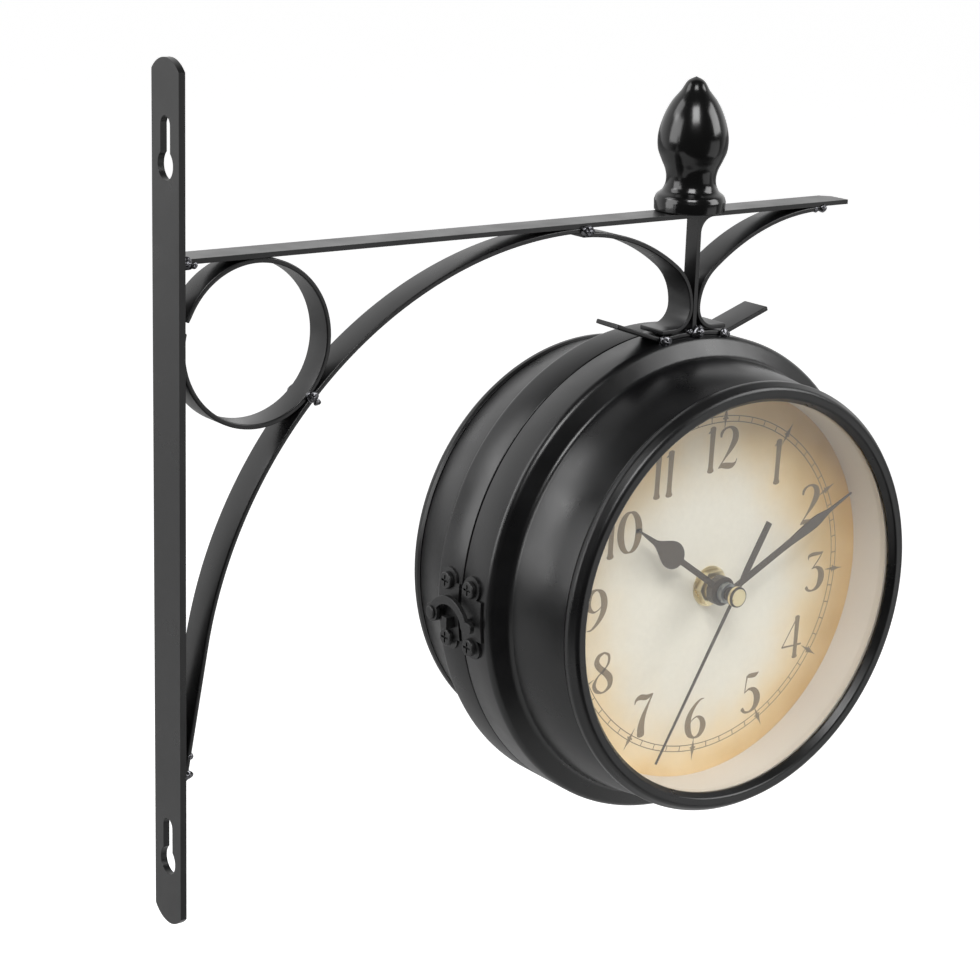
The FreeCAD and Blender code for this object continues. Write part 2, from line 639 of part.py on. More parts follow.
def movement_housing(depth):
    """Moulded movement body with a battery bay open at the back."""
    half = HOUSING_SIDE / 2
    back = housing_back(depth)
    body = local_box((back, back + HOUSING_THICKNESS), (-half, half), (-half, half))
    edges = [edge for edge in body.Edges if abs(edge.tangentAt(edge.FirstParameter).y) > 0.5]
    body = body.makeFillet(HOUSING_CORNER, edges)
    bay_depth, bay_height = bay_ranges(depth)
    bay = local_box(bay_depth, (-BAY_WIDTH / 2, BAY_WIDTH / 2), bay_height)
    socket = disc(BUSHING_BORE, back + HOUSING_THICKNESS - SOCKET_DEPTH, back + HOUSING_THICKNESS)
    stem = knob_post(KNOB_STEM_RADIUS + RUNNING_CLEARANCE, back, back + KNOB_SOCKET_DEPTH)
    return body.cut([bay, socket, stem])


def movement_cover(depth):
    """Snap-on lid over the wheels, above the battery bay."""
    half = HOUSING_SIDE / 2 - COVER_MARGIN
    back = housing_back(depth)
    low = bay_ranges(depth)[1][1] + COVER_MARGIN
    lid = local_box((back - COVER_THICKNESS, back), (-half, half), (low, half))
    edges = [edge for edge in lid.Edges if abs(edge.tangentAt(edge.FirstParameter).y) > 0.5]
    lid = lid.makeFillet(HOUSING_CORNER / 2, edges)
    return lid.cut(knob_post(KNOB_STEM_RADIUS + RUNNING_CLEARANCE, back - COVER_THICKNESS, back))


def cell_axis(depth):
    """Depth and height of the battery's middle line, resting on the bay's floor."""
    bay_depth, bay_height = bay_ranges(depth)
    return bay_depth[1] - CELL_RADIUS - SEAT_CLEARANCE, sum(bay_height) / 2


def battery(depth):
    """AA cell with its positive nub to the right."""
    along, height = cell_axis(depth)
    start = Vector(CLOCK_X - (CELL_LENGTH + CELL_NUB_LENGTH) / 2, SEAM_Y - along, CLOCK_Z + height)
    can = Part.makeCylinder(CELL_RADIUS, CELL_LENGTH, start, Vector(1, 0, 0))
    edges = [edge for edge in can.Edges if edge.Closed]
    can = can.makeFillet(RIM_FILLET, edges)
    end = start + Vector(CELL_LENGTH, 0, 0)
    return can.fuse(Part.makeCylinder(CELL_NUB_RADIUS, CELL_NUB_LENGTH, end, Vector(1, 0, 0)))


def battery_contacts(depth):
    """Two sheet contacts between the cell's ends and the bay."""
    along, height = cell_axis(depth)
    plates = []
    for sign in (-1, 1):
        outer = sign * BAY_WIDTH / 2
        inner = outer - sign * CONTACT_THICKNESS
        plates.append(local_box((along - CONTACT_SIDE / 2, bay_ranges(depth)[0][1]), sorted((outer, inner)),
                                (height - CONTACT_SIDE / 2, height + CONTACT_SIDE / 2)))
    return group(plates)


def threaded_bushing(depth):
    """Threaded brass neck of the movement, through the dial."""
    face = dial_face(depth)
    return disc(BUSHING_RADIUS, face - DIAL_THICKNESS, face + BUSHING_RISE, BUSHING_BORE)


def dial_washer(depth):
    """Washer under the nut."""
    face = dial_face(depth)
    return disc(WASHER_RADIUS, face, face + WASHER_THICKNESS, BUSHING_RADIUS)


def hex_nut(depth):
    """Six sided nut that clamps the dial to the movement."""
    face = dial_face(depth) + WASHER_THICKNESS
    corner = NUT_ACROSS_FLATS / math.sqrt(3)
    points = [Vector(CLOCK_X + corner * math.cos(math.radians(60 * k)), SEAM_Y - face,
                     CLOCK_Z + corner * math.sin(math.radians(60 * k))) for k in range(7)]
    block = Part.Face(Part.makePolygon(points)).extrude(Vector(0, -NUT_THICKNESS, 0))
    return block.cut(disc(BUSHING_RADIUS, face, face + NUT_THICKNESS))


def setting_knob(depth):
    """Time setting knob on its stem behind the movement."""
    outer = housing_back(depth) - COVER_THICKNESS - KNOB_GAP
    head = knob_post(KNOB_RADIUS, outer - KNOB_LENGTH, outer)
    edges = [edge for edge in head.Edges if edge.Closed]
    head = head.makeFillet(RIM_FILLET, edges)
    stem_end = housing_back(depth) + KNOB_SOCKET_DEPTH - KNOB_GAP
    stem = knob_post(KNOB_STEM_RADIUS, outer - KNOB_LENGTH / 2, stem_end)
    return head.fuse(stem)


# ---------------------------------------------------------------- the hands
def blade(outline, depth, level, turn):
    """Flat hand from a half outline in (across, along), mirrored and turned clockwise from twelve."""
    face_level = dial_face(depth) + level
    y = SEAM_Y - face_level
    points = [Vector(CLOCK_X + across, y, CLOCK_Z + along) for across, along in outline]
    mirror = [Vector(CLOCK_X - across, y, CLOCK_Z + along) for across, along in reversed(outline)]
    corners = points + [p for p in mirror if abs(p.x - CLOCK_X) > 1e-9]
    shape = Part.Face(Part.makePolygon(corners + corners[:1])).extrude(Vector(0, -HAND_THICKNESS, 0))
    return shape.rotate(AXIS, Vector(0, 1, 0), turn)


def arbor_start(depth, order):
    """Where a hand's arbor ends inside the housing; each inner arbor runs a little further back."""
    return housing_back(depth) + HOUSING_THICKNESS - SOCKET_DEPTH + (3 - order) * KNOB_GAP


def hour_hand(depth):
    """Spade hour hand on its hub and tube."""
    face = dial_face(depth)
    stem, lobe, spike = HOUR_STEM_WIDTH / 2, SPADE_WIDTH / 2, SPADE_NECK_WIDTH / 2
    rise = SPADE_WIDEST - SPADE_BASE
    fall = SPADE_NECK - SPADE_WIDEST
    outline = [(stem, 0), (stem, SPADE_BASE)]
    for degrees in range(-75, 1, 15):
        angle = math.radians(degrees)
        outline.append((lobe * math.cos(angle), SPADE_WIDEST + rise * math.sin(angle)))
    for share in (0.15, 0.3, 0.45, 0.6, 0.75, 0.9, 1.0):
        width = spike + (lobe - spike) * (1 + math.cos(math.pi * share)) / 2
        outline.append((width, SPADE_WIDEST + fall * share))
    outline += [(HAND_TIP_WIDTH / 2, HOUR_REACH - HAND_TIP_WIDTH), (0.0, HOUR_REACH)]
    turn = TIME_SECONDS / 43200 * 360 % 360
    hand = blade(outline, depth, HOUR_LEVEL, turn)
    front = face + HOUR_LEVEL + HAND_THICKNESS
    hub = disc(HOUR_HUB_RADIUS, face + BUSHING_RISE + HUB_GAP, front + HUB_LIP)
    tube = disc(HOUR_TUBE_RADIUS, arbor_start(depth, 0), front + HUB_LIP + HAND_RIVETING)
    bore = disc(MINUTE_ARBOR_RADIUS + ARBOR_CLEARANCE, 0.0, depth)
    return hand.fuse([hub, tube]).removeSplitter().cut(bore)


def minute_hand(depth):
    """Slim leaf minute hand on its hub and arbor."""
    face = dial_face(depth)
    stem, belly, spike = MINUTE_STEM_WIDTH / 2, LEAF_WIDTH / 2, LEAF_NECK_WIDTH / 2
    outline = [(stem, 0), (stem, LEAF_BASE)]
    for share in (0.25, 0.5, 0.75, 0.9, 1.0):
        width = stem + (belly - stem) * (1 - math.cos(math.pi * share)) / 2
        outline.append((width, LEAF_BASE + (LEAF_WIDEST - LEAF_BASE) * share))
    for share in (0.25, 0.5, 0.75, 1.0):
        width = spike + (belly - spike) * (1 + math.cos(math.pi * share)) / 2
        outline.append((width, LEAF_WIDEST + (LEAF_NECK - LEAF_WIDEST) * share))
    outline += [(HAND_TIP_WIDTH / 2, MINUTE_REACH - HAND_TIP_WIDTH), (0.0, MINUTE_REACH)]
    turn = TIME_SECONDS / 3600 * 360 % 360
    hand = blade(outline, depth, MINUTE_LEVEL, turn)
    hour_front = face + HOUR_LEVEL + HAND_THICKNESS + HUB_LIP + HAND_RIVETING
    front = face + MINUTE_LEVEL + HAND_THICKNESS
    hub = disc(MINUTE_HUB_RADIUS, hour_front + HUB_GAP, front + HUB_LIP)
    arbor = disc(MINUTE_ARBOR_RADIUS, arbor_start(depth, 1), front + HUB_LIP + HAND_RIVETING)
    bore = disc(SECOND_SHAFT_RADIUS + ARBOR_CLEARANCE, 0.0, depth)
    return hand.fuse([hub, arbor]).removeSplitter().cut(bore)


def second_hand(depth):
    """Sweep second hand with a straight tail, its brass cap and its shaft."""
    face = dial_face(depth)
    turn = TIME_SECONDS / 60 * 360 % 360
    half, tail = SECOND_BLADE_WIDTH / 2, SECOND_TAIL_WIDTH / 2
    outline = [(tail, -SECOND_TAIL), (tail, -SECOND_TAIL_START), (half, 0.0), (half / 2, SECOND_REACH)]
    hand = blade(outline, depth, SECOND_LEVEL, turn)
    cap = disc(SECOND_CAP_RADIUS, face + SECOND_LEVEL, face + SECOND_LEVEL + SECOND_CAP_HEIGHT)
    rim = [edge for edge in cap.Edges if edge.Closed]
    cap = cap.makeFillet(RIM_FILLET, rim)
    shaft = disc(SECOND_SHAFT_RADIUS, arbor_start(depth, 2), face + SECOND_LEVEL + HAND_THICKNESS)
    return hand.fuse([cap, shaft])


def half_clock(name, depth, place):
    """Write every piece of one half of the clock under its side's name."""
    makers = {"case": half_case, "bezel": bezel, "glass": glass, "spacer_sleeve": sleeve, "dial": dial,
              "dial_snap_ring": snap_ring, "movement_housing": movement_housing,
              "movement_cover": movement_cover, "battery": battery, "battery_contacts": battery_contacts,
              "threaded_bushing": threaded_bushing, "dial_washer": dial_washer, "hex_nut": hex_nut,
              "setting_knob": setting_knob, "hour_hand": hour_hand, "minute_hand": minute_hand,
              "second_hand": second_hand}
    for piece, maker in makers.items():
        shape = place(maker(depth))
        if piece == "case":
            shape = cut_for_fasteners(shape)
        save("%s_%s" % (name, piece), shape)


def as_front(shape):
    """The front half stays where it is drawn."""
    return shape


def as_rear(shape):
    """The rear half is the same half turned about the upright line through the seam."""
    return shape.rotate(Vector(CLOCK_X, SEAM_Y, 0), Vector(0, 0, 1), 180)


# ================================================================ fittings
def band_skin(thickness):
    """Tube that lies on both bands, to shape what is fixed to them."""
    start = Vector(CLOCK_X, SEAM_Y - BAND_WIDTH, CLOCK_Z)
    outer = Part.makeCylinder(BAND_RADIUS + thickness, 2 * BAND_WIDTH, start, Vector(0, 1, 0))
    return outer.cut(Part.makeCylinder(BAND_RADIUS, 2 * BAND_WIDTH, start, Vector(0, 1, 0)))


def radial(radius, y, z, low, high, side):
    """Round bar along X on one side of the drum, by its distances from the clock axis."""
    start = Vector(CLOCK_X + side * low, y, z)
    return Part.makeCylinder(radius, high - low, start, Vector(side, 0, 0))


HINGE_X = CLOCK_X + BAND_RADIUS + HINGE_STANDOFF + HINGE_KNUCKLE_RADIUS
KNUCKLE = HINGE_LEAF_HEIGHT / 3


def hinge_barrel(radius, low, high):
    """Upright round on the hinge axis between two heights about the drum's middle."""
    return Part.makeCylinder(radius, high - low, Vector(HINGE_X, SEAM_Y, CLOCK_Z + low))


def rivet_places(side):
    """Heights and Y of the two rivets of a hinge leaf; side is -1 front, 1 rear."""
    y = SEAM_Y + side * (HINGE_LEAF_REACH - HINGE_RIVET_INSET)
    return [(y, CLOCK_Z + sign * HINGE_LEAF_HEIGHT / 3) for sign in (-1, 1)]


def hinge_leaf(side):
    """Leaf on one band; the front leaf has the outer knuckles and the rear leaf the middle one."""
    half = HINGE_LEAF_HEIGHT / 2
    near = SEAM_Y + side * SEAM_GAP
    far = SEAM_Y + side * HINGE_LEAF_REACH
    low_y, high_y = sorted((near, far))
    blank = box((CLOCK_X, low_y, CLOCK_Z - half), (FAR, high_y, CLOCK_Z + half))
    plate = band_skin(HINGE_LEAF_THICKNESS).common(blank)
    inner = KNUCKLE / 2
    spans = [(-inner, inner)]
    if side < 0:
        spans = [(-half, -inner - HINGE_KNUCKLE_GAP), (inner + HINGE_KNUCKLE_GAP, half)]
    bridge_low, bridge_high = sorted((near, SEAM_Y + side * HINGE_KNUCKLE_RADIUS))
    pin = HINGE_PIN_RADIUS + (RUNNING_CLEARANCE if side > 0 else 0)
    outer = HINGE_KNUCKLE_RADIUS + HINGE_KNUCKLE_GAP
    for low, high in ((-inner, inner), (-half, -inner), (inner, half)):
        own = any(span[0] - 1e-6 <= (low + high) / 2 <= span[1] + 1e-6 for span in spans)
        if not own:
            plate = plate.cut(hinge_barrel(outer, low - HINGE_KNUCKLE_GAP, high + HINGE_KNUCKLE_GAP))
    for low, high in spans:
        bridge = box((CLOCK_X + BAND_RADIUS, bridge_low, CLOCK_Z + low),
                     (HINGE_X, bridge_high, CLOCK_Z + high))
        plate = plate.fuse([hinge_barrel(HINGE_KNUCKLE_RADIUS, low, high), bridge])
    plate = plate.removeSplitter().cut(hinge_barrel(pin, -FAR, FAR))
    holes = [radial(RIVET_RADIUS, y, z, 0, FAR, 1) for y, z in rivet_places(side)]
    return plate.cut(holes)


def hinge_pin():
    """Hinge pin, tight in the front knuckles, with two small heads."""
    half = HINGE_LEAF_HEIGHT / 2
    heads = [hinge_barrel(HINGE_PIN_HEAD_RADIUS, half, half + HINGE_PIN_HEAD),
             hinge_barrel(HINGE_PIN_HEAD_RADIUS, -half - HINGE_PIN_HEAD, -half)]
    return hinge_barrel(HINGE_PIN_RADIUS, -half, half).fuse(heads).removeSplitter()


def hinge_rivets(side):
    """Two domed rivets through a leaf and its band."""
    rivets = []
    skin = BAND_RADIUS + HINGE_LEAF_THICKNESS
    for y, z in rivet_places(side):
        shank = radial(RIVET_RADIUS, y, z, BAND_RADIUS - 4 * CASE_WALL, skin, 1)
        dome = radial(RIVET_HEAD_RADIUS, y, z, skin - 2 * RIVET_HEAD, skin + RIVET_HEAD, 1)
        rim = [edge for edge in dome.Edges if edge.Closed and edge.CenterOfMass.x > CLOCK_X + skin]
        dome = dome.makeFillet(RIM_FILLET, rim)
        tail = radial(RIVET_HEAD_RADIUS, y, z, BAND_RADIUS - 4 * CASE_WALL, BAND_RADIUS, 1)
        start = Vector(CLOCK_X, SEAM_Y - BAND_WIDTH, CLOCK_Z)
        inside = Part.makeCylinder(BAND_RADIUS - CASE_WALL, 2 * BAND_WIDTH, start, Vector(0, 1, 0))
        outside = Part.makeCylinder(skin, 2 * BAND_WIDTH, start, Vector(0, 1, 0))
        rivets.append(shank.fuse([dome.cut(outside), tail.common(inside)]).removeSplitter())
    return group(rivets)


LATCH_Z = CLOCK_Z - LATCH_DROP
PIVOT_Y = SEAM_Y + LATCH_PIVOT_REACH
PIVOT_Z = LATCH_Z - LATCH_PIVOT_DROP
PLATE_TOP = BAND_RADIUS + LATCH_PLATE_THICKNESS
BOSS_TOP = BAND_RADIUS + LEVER_LIFT - HINGE_KNUCKLE_GAP
EMBED = 1.0                     # raised details start this far under the band before it is cut away


def outer_rims(head, x):
    """Round edges of a latch fastener's head that lie further out than x."""
    return [edge for edge in head.Edges if edge.Closed and edge.CenterOfMass.x < x]


def latch_screw_places(side):
    """Y and height of the two screws of a latch plate; side is -1 front, 1 rear."""
    inset_y = LATCH_SCREW_INSET if side < 0 else LATCH_REAR_SCREW_INSET
    return [(SEAM_Y + side * inset_y, LATCH_Z + sign * LATCH_SCREW_SPREAD) for sign in (-1, 1)]


def latch_slab(y_range, z_range):
    """Block through the latch side of the bands."""
    return box((CLOCK_X - FAR, y_range[0], z_range[0]), (CLOCK_X, y_range[1], z_range[1]))


def latch_plate(side):
    """Lobed plate wrapped on one band; the rear one carries a tongue and a boss, the front one a catch."""
    places = latch_screw_places(side)
    web_half = LATCH_SCREW_SPREAD - SCREW_HEAD_RADIUS
    lobes = [radial(LATCH_LOBE_RADIUS, y, z, 0, FAR, -1) for y, z in places]
    if side < 0:
        web = latch_slab((SEAM_Y - LATCH_FRONT_REACH, SEAM_Y), (LATCH_Z - web_half, LATCH_Z + web_half))
    else:
        web = latch_slab((SEAM_Y, PIVOT_Y), (LATCH_Z - web_half, LATCH_Z + web_half))
        lobes.append(radial(LATCH_BOSS_RADIUS + LATCH_SEAM_MARGIN, PIVOT_Y, PIVOT_Z, 0, FAR, -1))
    bridge = latch_slab(tuple(sorted((SEAM_Y, places[0][0]))), (places[0][1], places[1][1]))
    blank = web.fuse(lobes + [bridge])
    margin = tuple(sorted((SEAM_Y + side * LATCH_SEAM_MARGIN, SEAM_Y + side * BAND_WIDTH * 2)))
    blank = blank.common(latch_slab(margin, (LATCH_Z - FAR, LATCH_Z + FAR)))
    start = Vector(CLOCK_X, SEAM_Y - 2 * BAND_WIDTH, CLOCK_Z)
    skin = Part.makeCylinder(PLATE_TOP, 4 * BAND_WIDTH, start, Vector(0, 1, 0))
    core = Part.makeCylinder(BAND_RADIUS, 4 * BAND_WIDTH, start, Vector(0, 1, 0))
    plate = blank.common(skin).cut(core)
    under = BAND_RADIUS - EMBED
    if side < 0:
        catch_y = SEAM_Y - LATCH_SCREW_INSET
        raised = radial(LEVER_TAB_RADIUS, catch_y, PIVOT_Z, under, BAND_RADIUS + CATCH_HEIGHT, -1)
    else:
        raised = box((CLOCK_X - BAND_RADIUS - TONGUE_HEIGHT, SEAM_Y + TONGUE_START, PIVOT_Z - TONGUE_LENGTH),
                     (CLOCK_X - under, SEAM_Y + TONGUE_START + TONGUE_WIDTH, PIVOT_Z))
        raised = raised.fuse(radial(LATCH_BOSS_RADIUS, PIVOT_Y, PIVOT_Z, under, BOSS_TOP, -1))
    plate = plate.fuse(raised.cut(core)).removeSplitter()
    holes = [radial(SCREW_SHANK_RADIUS, y, z, 0, FAR, -1) for y, z in places]
    if side > 0:
        holes.append(radial(LATCH_PIVOT_RADIUS, PIVOT_Y, PIVOT_Z, 0, FAR, -1))
    return plate.cut(holes)


def latch_screws(side):
    """Two cross-recess pan-head screws of one latch plate."""
    screws = []
    for y, z in latch_screw_places(side):
        high_side = abs(z - CLOCK_Z) - SCREW_HEAD_RADIUS
        seat = math.sqrt(PLATE_TOP ** 2 - high_side ** 2)
        head = radial(SCREW_HEAD_RADIUS, y, z, seat, seat + SCREW_HEAD, -1)
        head = head.makeFillet(RIM_FILLET, outer_rims(head, CLOCK_X - seat - EMBED / 2))
        half, width = SCREW_SLOT_LENGTH / 2, SCREW_SLOT_WIDTH / 2
        slot = box((CLOCK_X - seat - SCREW_HEAD, y - half, z - width),
                   (CLOCK_X - seat - SCREW_HEAD + SCREW_SLOT_DEPTH, y + half, z + width))
        cross = slot.copy().rotate(Vector(0, y, z), Vector(1, 0, 0), 90)
        shank = radial(SCREW_SHANK_RADIUS, y, z, seat - SCREW_SHANK_LENGTH, seat, -1)
        screws.append(head.cut([slot, cross]).fuse(shank))
    return group(screws)


def latch_lever():
    """Hook that swings on its rivet: a boss, an arched arm and a finger tab."""
    low = BAND_RADIUS + LEVER_LIFT
    high = low + LEVER_THICKNESS
    arc_y = PIVOT_Y - LEVER_ARC_REACH
    arc_z = PIVOT_Z - LEVER_ARC_DROP
    outer = radial(LEVER_ARC_RADIUS + LEVER_WIDTH / 2, arc_y, arc_z, low, high, -1)
    arm = outer.cut(radial(LEVER_ARC_RADIUS - LEVER_WIDTH / 2, arc_y, arc_z, low, high, -1))
    arm = arm.common(latch_slab((arc_y - FAR, arc_y + FAR), (PIVOT_Z, PIVOT_Z + FAR)))
    boss = radial(LATCH_BOSS_RADIUS, PIVOT_Y, PIVOT_Z, low, high, -1)
    end_y = arc_y - math.sqrt(LEVER_ARC_RADIUS ** 2 - LEVER_ARC_DROP ** 2)
    tab_y = end_y - LEVER_TAB_REACH
    tab = radial(LEVER_TAB_RADIUS, tab_y, PIVOT_Z, low, high, -1)
    foot = box((CLOCK_X - high, tab_y, PIVOT_Z - LEVER_TAB_RADIUS),
               (CLOCK_X - low, end_y, PIVOT_Z + LEVER_TAB_RADIUS))
    heel = radial(LEVER_TAB_RADIUS, end_y, PIVOT_Z, low, high, -1)
    lever = boss.fuse([arm, tab, foot, heel]).removeSplitter()
    return lever.cut(radial(LATCH_PIVOT_RADIUS + RUNNING_CLEARANCE, PIVOT_Y, PIVOT_Z, 0, FAR, -1))


def latch_rivet():
    """Domed rivet that the lever swings on."""
    top = BAND_RADIUS + LEVER_LIFT + LEVER_THICKNESS + 2 * RUNNING_CLEARANCE
    shank = radial(LATCH_PIVOT_RADIUS, PIVOT_Y, PIVOT_Z, BAND_RADIUS - 2 * CASE_WALL, top, -1)
    head = radial(RIVET_HEAD_RADIUS, PIVOT_Y, PIVOT_Z, top, top + RIVET_HEAD, -1)
    return head.makeFillet(RIM_FILLET, outer_rims(head, CLOCK_X - top - RIVET_HEAD / 2)).fuse(shank)


def cut_for_fasteners(case):
    """Drill a case for the rivets and screws that pass through its band."""
    tools = []
    for side in (-1, 1):
        tools += [radial(RIVET_RADIUS, y, z, 0, FAR, 1) for y, z in rivet_places(side)]
        tools += [radial(SCREW_SHANK_RADIUS, y, z, 0, FAR, -1) for y, z in latch_screw_places(side)]
    tools.append(radial(LATCH_PIVOT_RADIUS, PIVOT_Y, PIVOT_Z, 0, FAR, -1))
    return case.cut(tools)


# ================================================================== build
for maker in (wall_strap, arm_bar, corner_ring, brace_arc, inner_scroll, outer_scroll, hanger_post,
              saddle_strip, weld_beads, finial, finial_stud, hinge_pin, latch_lever, latch_rivet):
    save(maker.__name__, maker())
half_clock("front", FRONT_DEPTH, as_front)
half_clock("rear", REAR_DEPTH, as_rear)
for side_name, side in (("front", -1), ("rear", 1)):
    save("hinge_leaf_%s" % side_name, hinge_leaf(side))
    save("hinge_rivets_%s" % side_name, hinge_rivets(side))
    save("latch_plate_%s" % side_name, latch_plate(side))
    save("latch_screws_%s" % side_name, latch_screws(side))
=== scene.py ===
import json
import math

import bmesh
import bpy
import numpy as np
from mathutils import Matrix, Vector


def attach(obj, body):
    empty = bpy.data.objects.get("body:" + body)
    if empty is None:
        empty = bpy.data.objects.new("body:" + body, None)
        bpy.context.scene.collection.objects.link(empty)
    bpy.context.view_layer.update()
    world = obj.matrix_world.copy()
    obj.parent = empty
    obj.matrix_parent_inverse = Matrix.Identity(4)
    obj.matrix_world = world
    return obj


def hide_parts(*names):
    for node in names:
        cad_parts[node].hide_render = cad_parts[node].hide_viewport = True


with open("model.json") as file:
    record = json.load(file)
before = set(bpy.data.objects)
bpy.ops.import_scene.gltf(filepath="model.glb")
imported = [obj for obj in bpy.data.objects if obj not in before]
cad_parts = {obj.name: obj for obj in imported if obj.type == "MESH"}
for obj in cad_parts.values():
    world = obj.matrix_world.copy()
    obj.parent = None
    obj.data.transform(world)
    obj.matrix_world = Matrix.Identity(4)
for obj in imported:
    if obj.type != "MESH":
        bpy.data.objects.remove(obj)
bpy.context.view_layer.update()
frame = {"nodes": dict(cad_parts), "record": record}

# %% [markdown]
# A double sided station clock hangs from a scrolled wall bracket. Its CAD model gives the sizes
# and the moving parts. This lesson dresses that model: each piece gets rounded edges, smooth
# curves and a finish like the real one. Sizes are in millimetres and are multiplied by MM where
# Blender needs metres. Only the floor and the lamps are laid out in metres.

MM = 0.001
body_of = {node: body for body, nodes in frame["record"]["behaviour"]["bodies"].items() for node in nodes}

# %% [markdown]
# Sizes of the real clock. The wall strap stands on the plane X = 0, the arm runs along +X, and the
# dial in the usual view faces -Y. The drum's two halves meet in the upright plane of the seam.

# %% Named sizes
STRAP_THICKNESS = 2.0
BAR_THICKNESS, BAR_WIDTH = 1.5, 11.0
ARM_TOP, ARM_REACH = 72.0, 253.0
RING_WIDTH, RING_GAP_START, RING_GAP_END, RING_TAIL = 9.5, 152.0, 167.0, 3.2
BRACE_FOOT, BRACE_LEAN, BRACE_RUN = -80.0, 10.0, 40.0
CLOCK_X, CLOCK_Z, SEAM_Y, SEAM_GAP = 188.3, -47.7, 6.5, 0.2
BAND_RADIUS, BAND_WIDTH, BAND_FILLET = 80.0, 13.4, 2.6
STEP_RADIUS, STEP_DEPTH, STEP_FILLET = 73.4, 3.2, 2.2
NECK_END_RADIUS, NECK_SET_BACK, CASE_WALL = 70.4, 2.0, 1.2
BEZEL_RADIUS, BEZEL_CREST_RADIUS, BEZEL_RISE, BEZEL_GROOVE = 71.0, 67.8, 3.2, 0.1
SKIRT_GAP, SKIRT_WALL, SKIRT_LENGTH = 0.2, 1.2, 6.0
APERTURE_RADIUS, GLASS_THICKNESS, GLASS_SEAT, GLASS_PLAY = 64.7, 2.0, 0.3, 1.6
SLEEVE_GAP, SLEEVE_WALL, SLEEVE_FLANGE, SLEEVE_LIFT, SLEEVE_PLAY = 0.3, 1.2, 1.0, 0.02, 0.25
DIAL_SET_BACK, DIAL_THICKNESS = 16.8, 1.0
BUSH_RADIUS, BUSH_BORE, BUSH_RISE, THREAD_DEPTH, THREAD_TURNS = 4.0, 2.55, 3.7, 0.2, 6
CAP_RADIUS, CAP_BACK, CAP_FRONT = 3.4, 12.9, 14.65
COLLAR_RADIUS, COLLAR_BORE, COLLAR_BACK, COLLAR_FRONT = 3.38, 2.2, 7.95, 9.75
DEPTHS = {"front": 42.0, "rear": 38.5}
HAND = {"front": 1.0, "rear": -1.0}
SADDLE_ARC, WING_BEND, WING_ANGLE, WING_LENGTH = 18.0, 2.5, 19.0, 19.2
INNER_SCROLL_TIGHT, OUTER_SCROLL_TIGHT = 0.644, 0.57
SCROLL_TUCK_RADIUS, SCROLL_FOOT, OUTER_SCROLL_INSET = 7.7, 5.0, 11.2
ARM_UNDERSIDE = ARM_TOP - BAR_THICKNESS
SADDLE_TOP = CLOCK_Z + BAND_RADIUS + BAR_THICKNESS
HALF_BAR = BAR_THICKNESS / 2

# %% [markdown]
# ## Paints, metals and glass
# A colour is written as it looks on a screen, as an sRGB hex value, and one function turns it into
# the linear numbers that the shaders need. Patterns are sized in real millimetres: a noise whose
# lumps are about s mm wide has a scale of 1000 / s on Object coordinates, which are in metres.

# %% Colour, node and material helpers
def linear(code):
    """sRGB hex to linear RGBA: c/12.92 below 0.04045, else ((c + 0.055)/1.055) to the power 2.4."""
    c = np.array([int(code[i:i + 2], 16) for i in (1, 3, 5)]) / 255
    c = np.where(c <= 0.04045, c / 12.92, ((c + 0.055) / 1.055) ** 2.4)
    return (*c.tolist(), 1.0)


def feed(tree, node, inputs):
    """Give a node its inputs: each is a value or another node's output."""
    for key, value in inputs.items():
        if isinstance(value, bpy.types.NodeSocket):
            tree.links.new(value, node.inputs[key])
        else:
            node.inputs[key].default_value = value


def add(tree, kind, inputs=None, **settings):
    """Add one shader node with its settings and inputs."""
    made = tree.nodes.new("ShaderNode" + kind)
    for key, value in settings.items():
        setattr(made, key, value)
    feed(tree, made, inputs or {})
    return made


def blend(tree, share, start, end):
    """Mix of two colours, each an sRGB hex code or another node's output."""
    start, end = (linear(c) if isinstance(c, str) else c for c in (start, end))
    return add(tree, "Mix", {0: share, 6: start, 7: end}, data_type="RGBA").outputs[2]


def remap(tree, value, low, high, start, end, curve="LINEAR"):
    """The range low to high of a value, spread over start to end."""
    limits = {0: value, 1: low, 2: high, 3: start, 4: end}
    return add(tree, "MapRange", limits, interpolation_type=curve).outputs[0]


def noise(tree, place, size, detail, **more):
    """Noise with lumps of about size mm."""
    inputs = {"Vector": place, "Scale": 1000 / size, "Detail": detail, **more}
    return add(tree, "TexNoise", inputs).outputs["Fac"]


def new_material(name):
    """An empty material: its node tree and its Principled shader."""
    made = bpy.data.materials.new(name)
    made.use_nodes = True
    return made, made.node_tree, made.node_tree.nodes["Principled BSDF"]


def finish_coat(name, pale, deep, mottle, rough, swing, grain, depth, metallic=0.0, ior=1.5):
    """A coated or plated surface.

    Colour drifts between deep and pale over lumps of mottle mm, roughness swings by swing about
    rough over the same lumps, and a grain of grain mm stands depth mm high as bump.
    """
    made, tree, shader = new_material(name)
    place = add(tree, "TexCoord").outputs["Object"]
    lumps = noise(tree, place, mottle, 3.0)
    gloss = remap(tree, lumps, 0.3, 0.7, rough - swing, rough + swing)
    relief = add(tree, "Bump", {"Height": noise(tree, place, grain, 2.0), "Distance": depth * MM})
    feed(tree, shader, {"Base Color": blend(tree, lumps, deep, pale), "Roughness": gloss,
                        "Normal": relief.outputs[0], "Metallic": metallic, "IOR": ior})
    return made


# %% [markdown]
# Nearly everything black here is steel in a satin powder coat: dry paint blown on and baked, so it
# flows out soft, a little like orange peel, and blurs what it mirrors. The turned finial is sprayed
# with gloss enamel, which mirrors the studio more sharply. Latch and hinge are small pressings in a
# thicker, duller black. Each line gives the pale and the deep colour, the size of the lumps in mm,
# the roughness and its swing, and the size and height of the grain in mm.

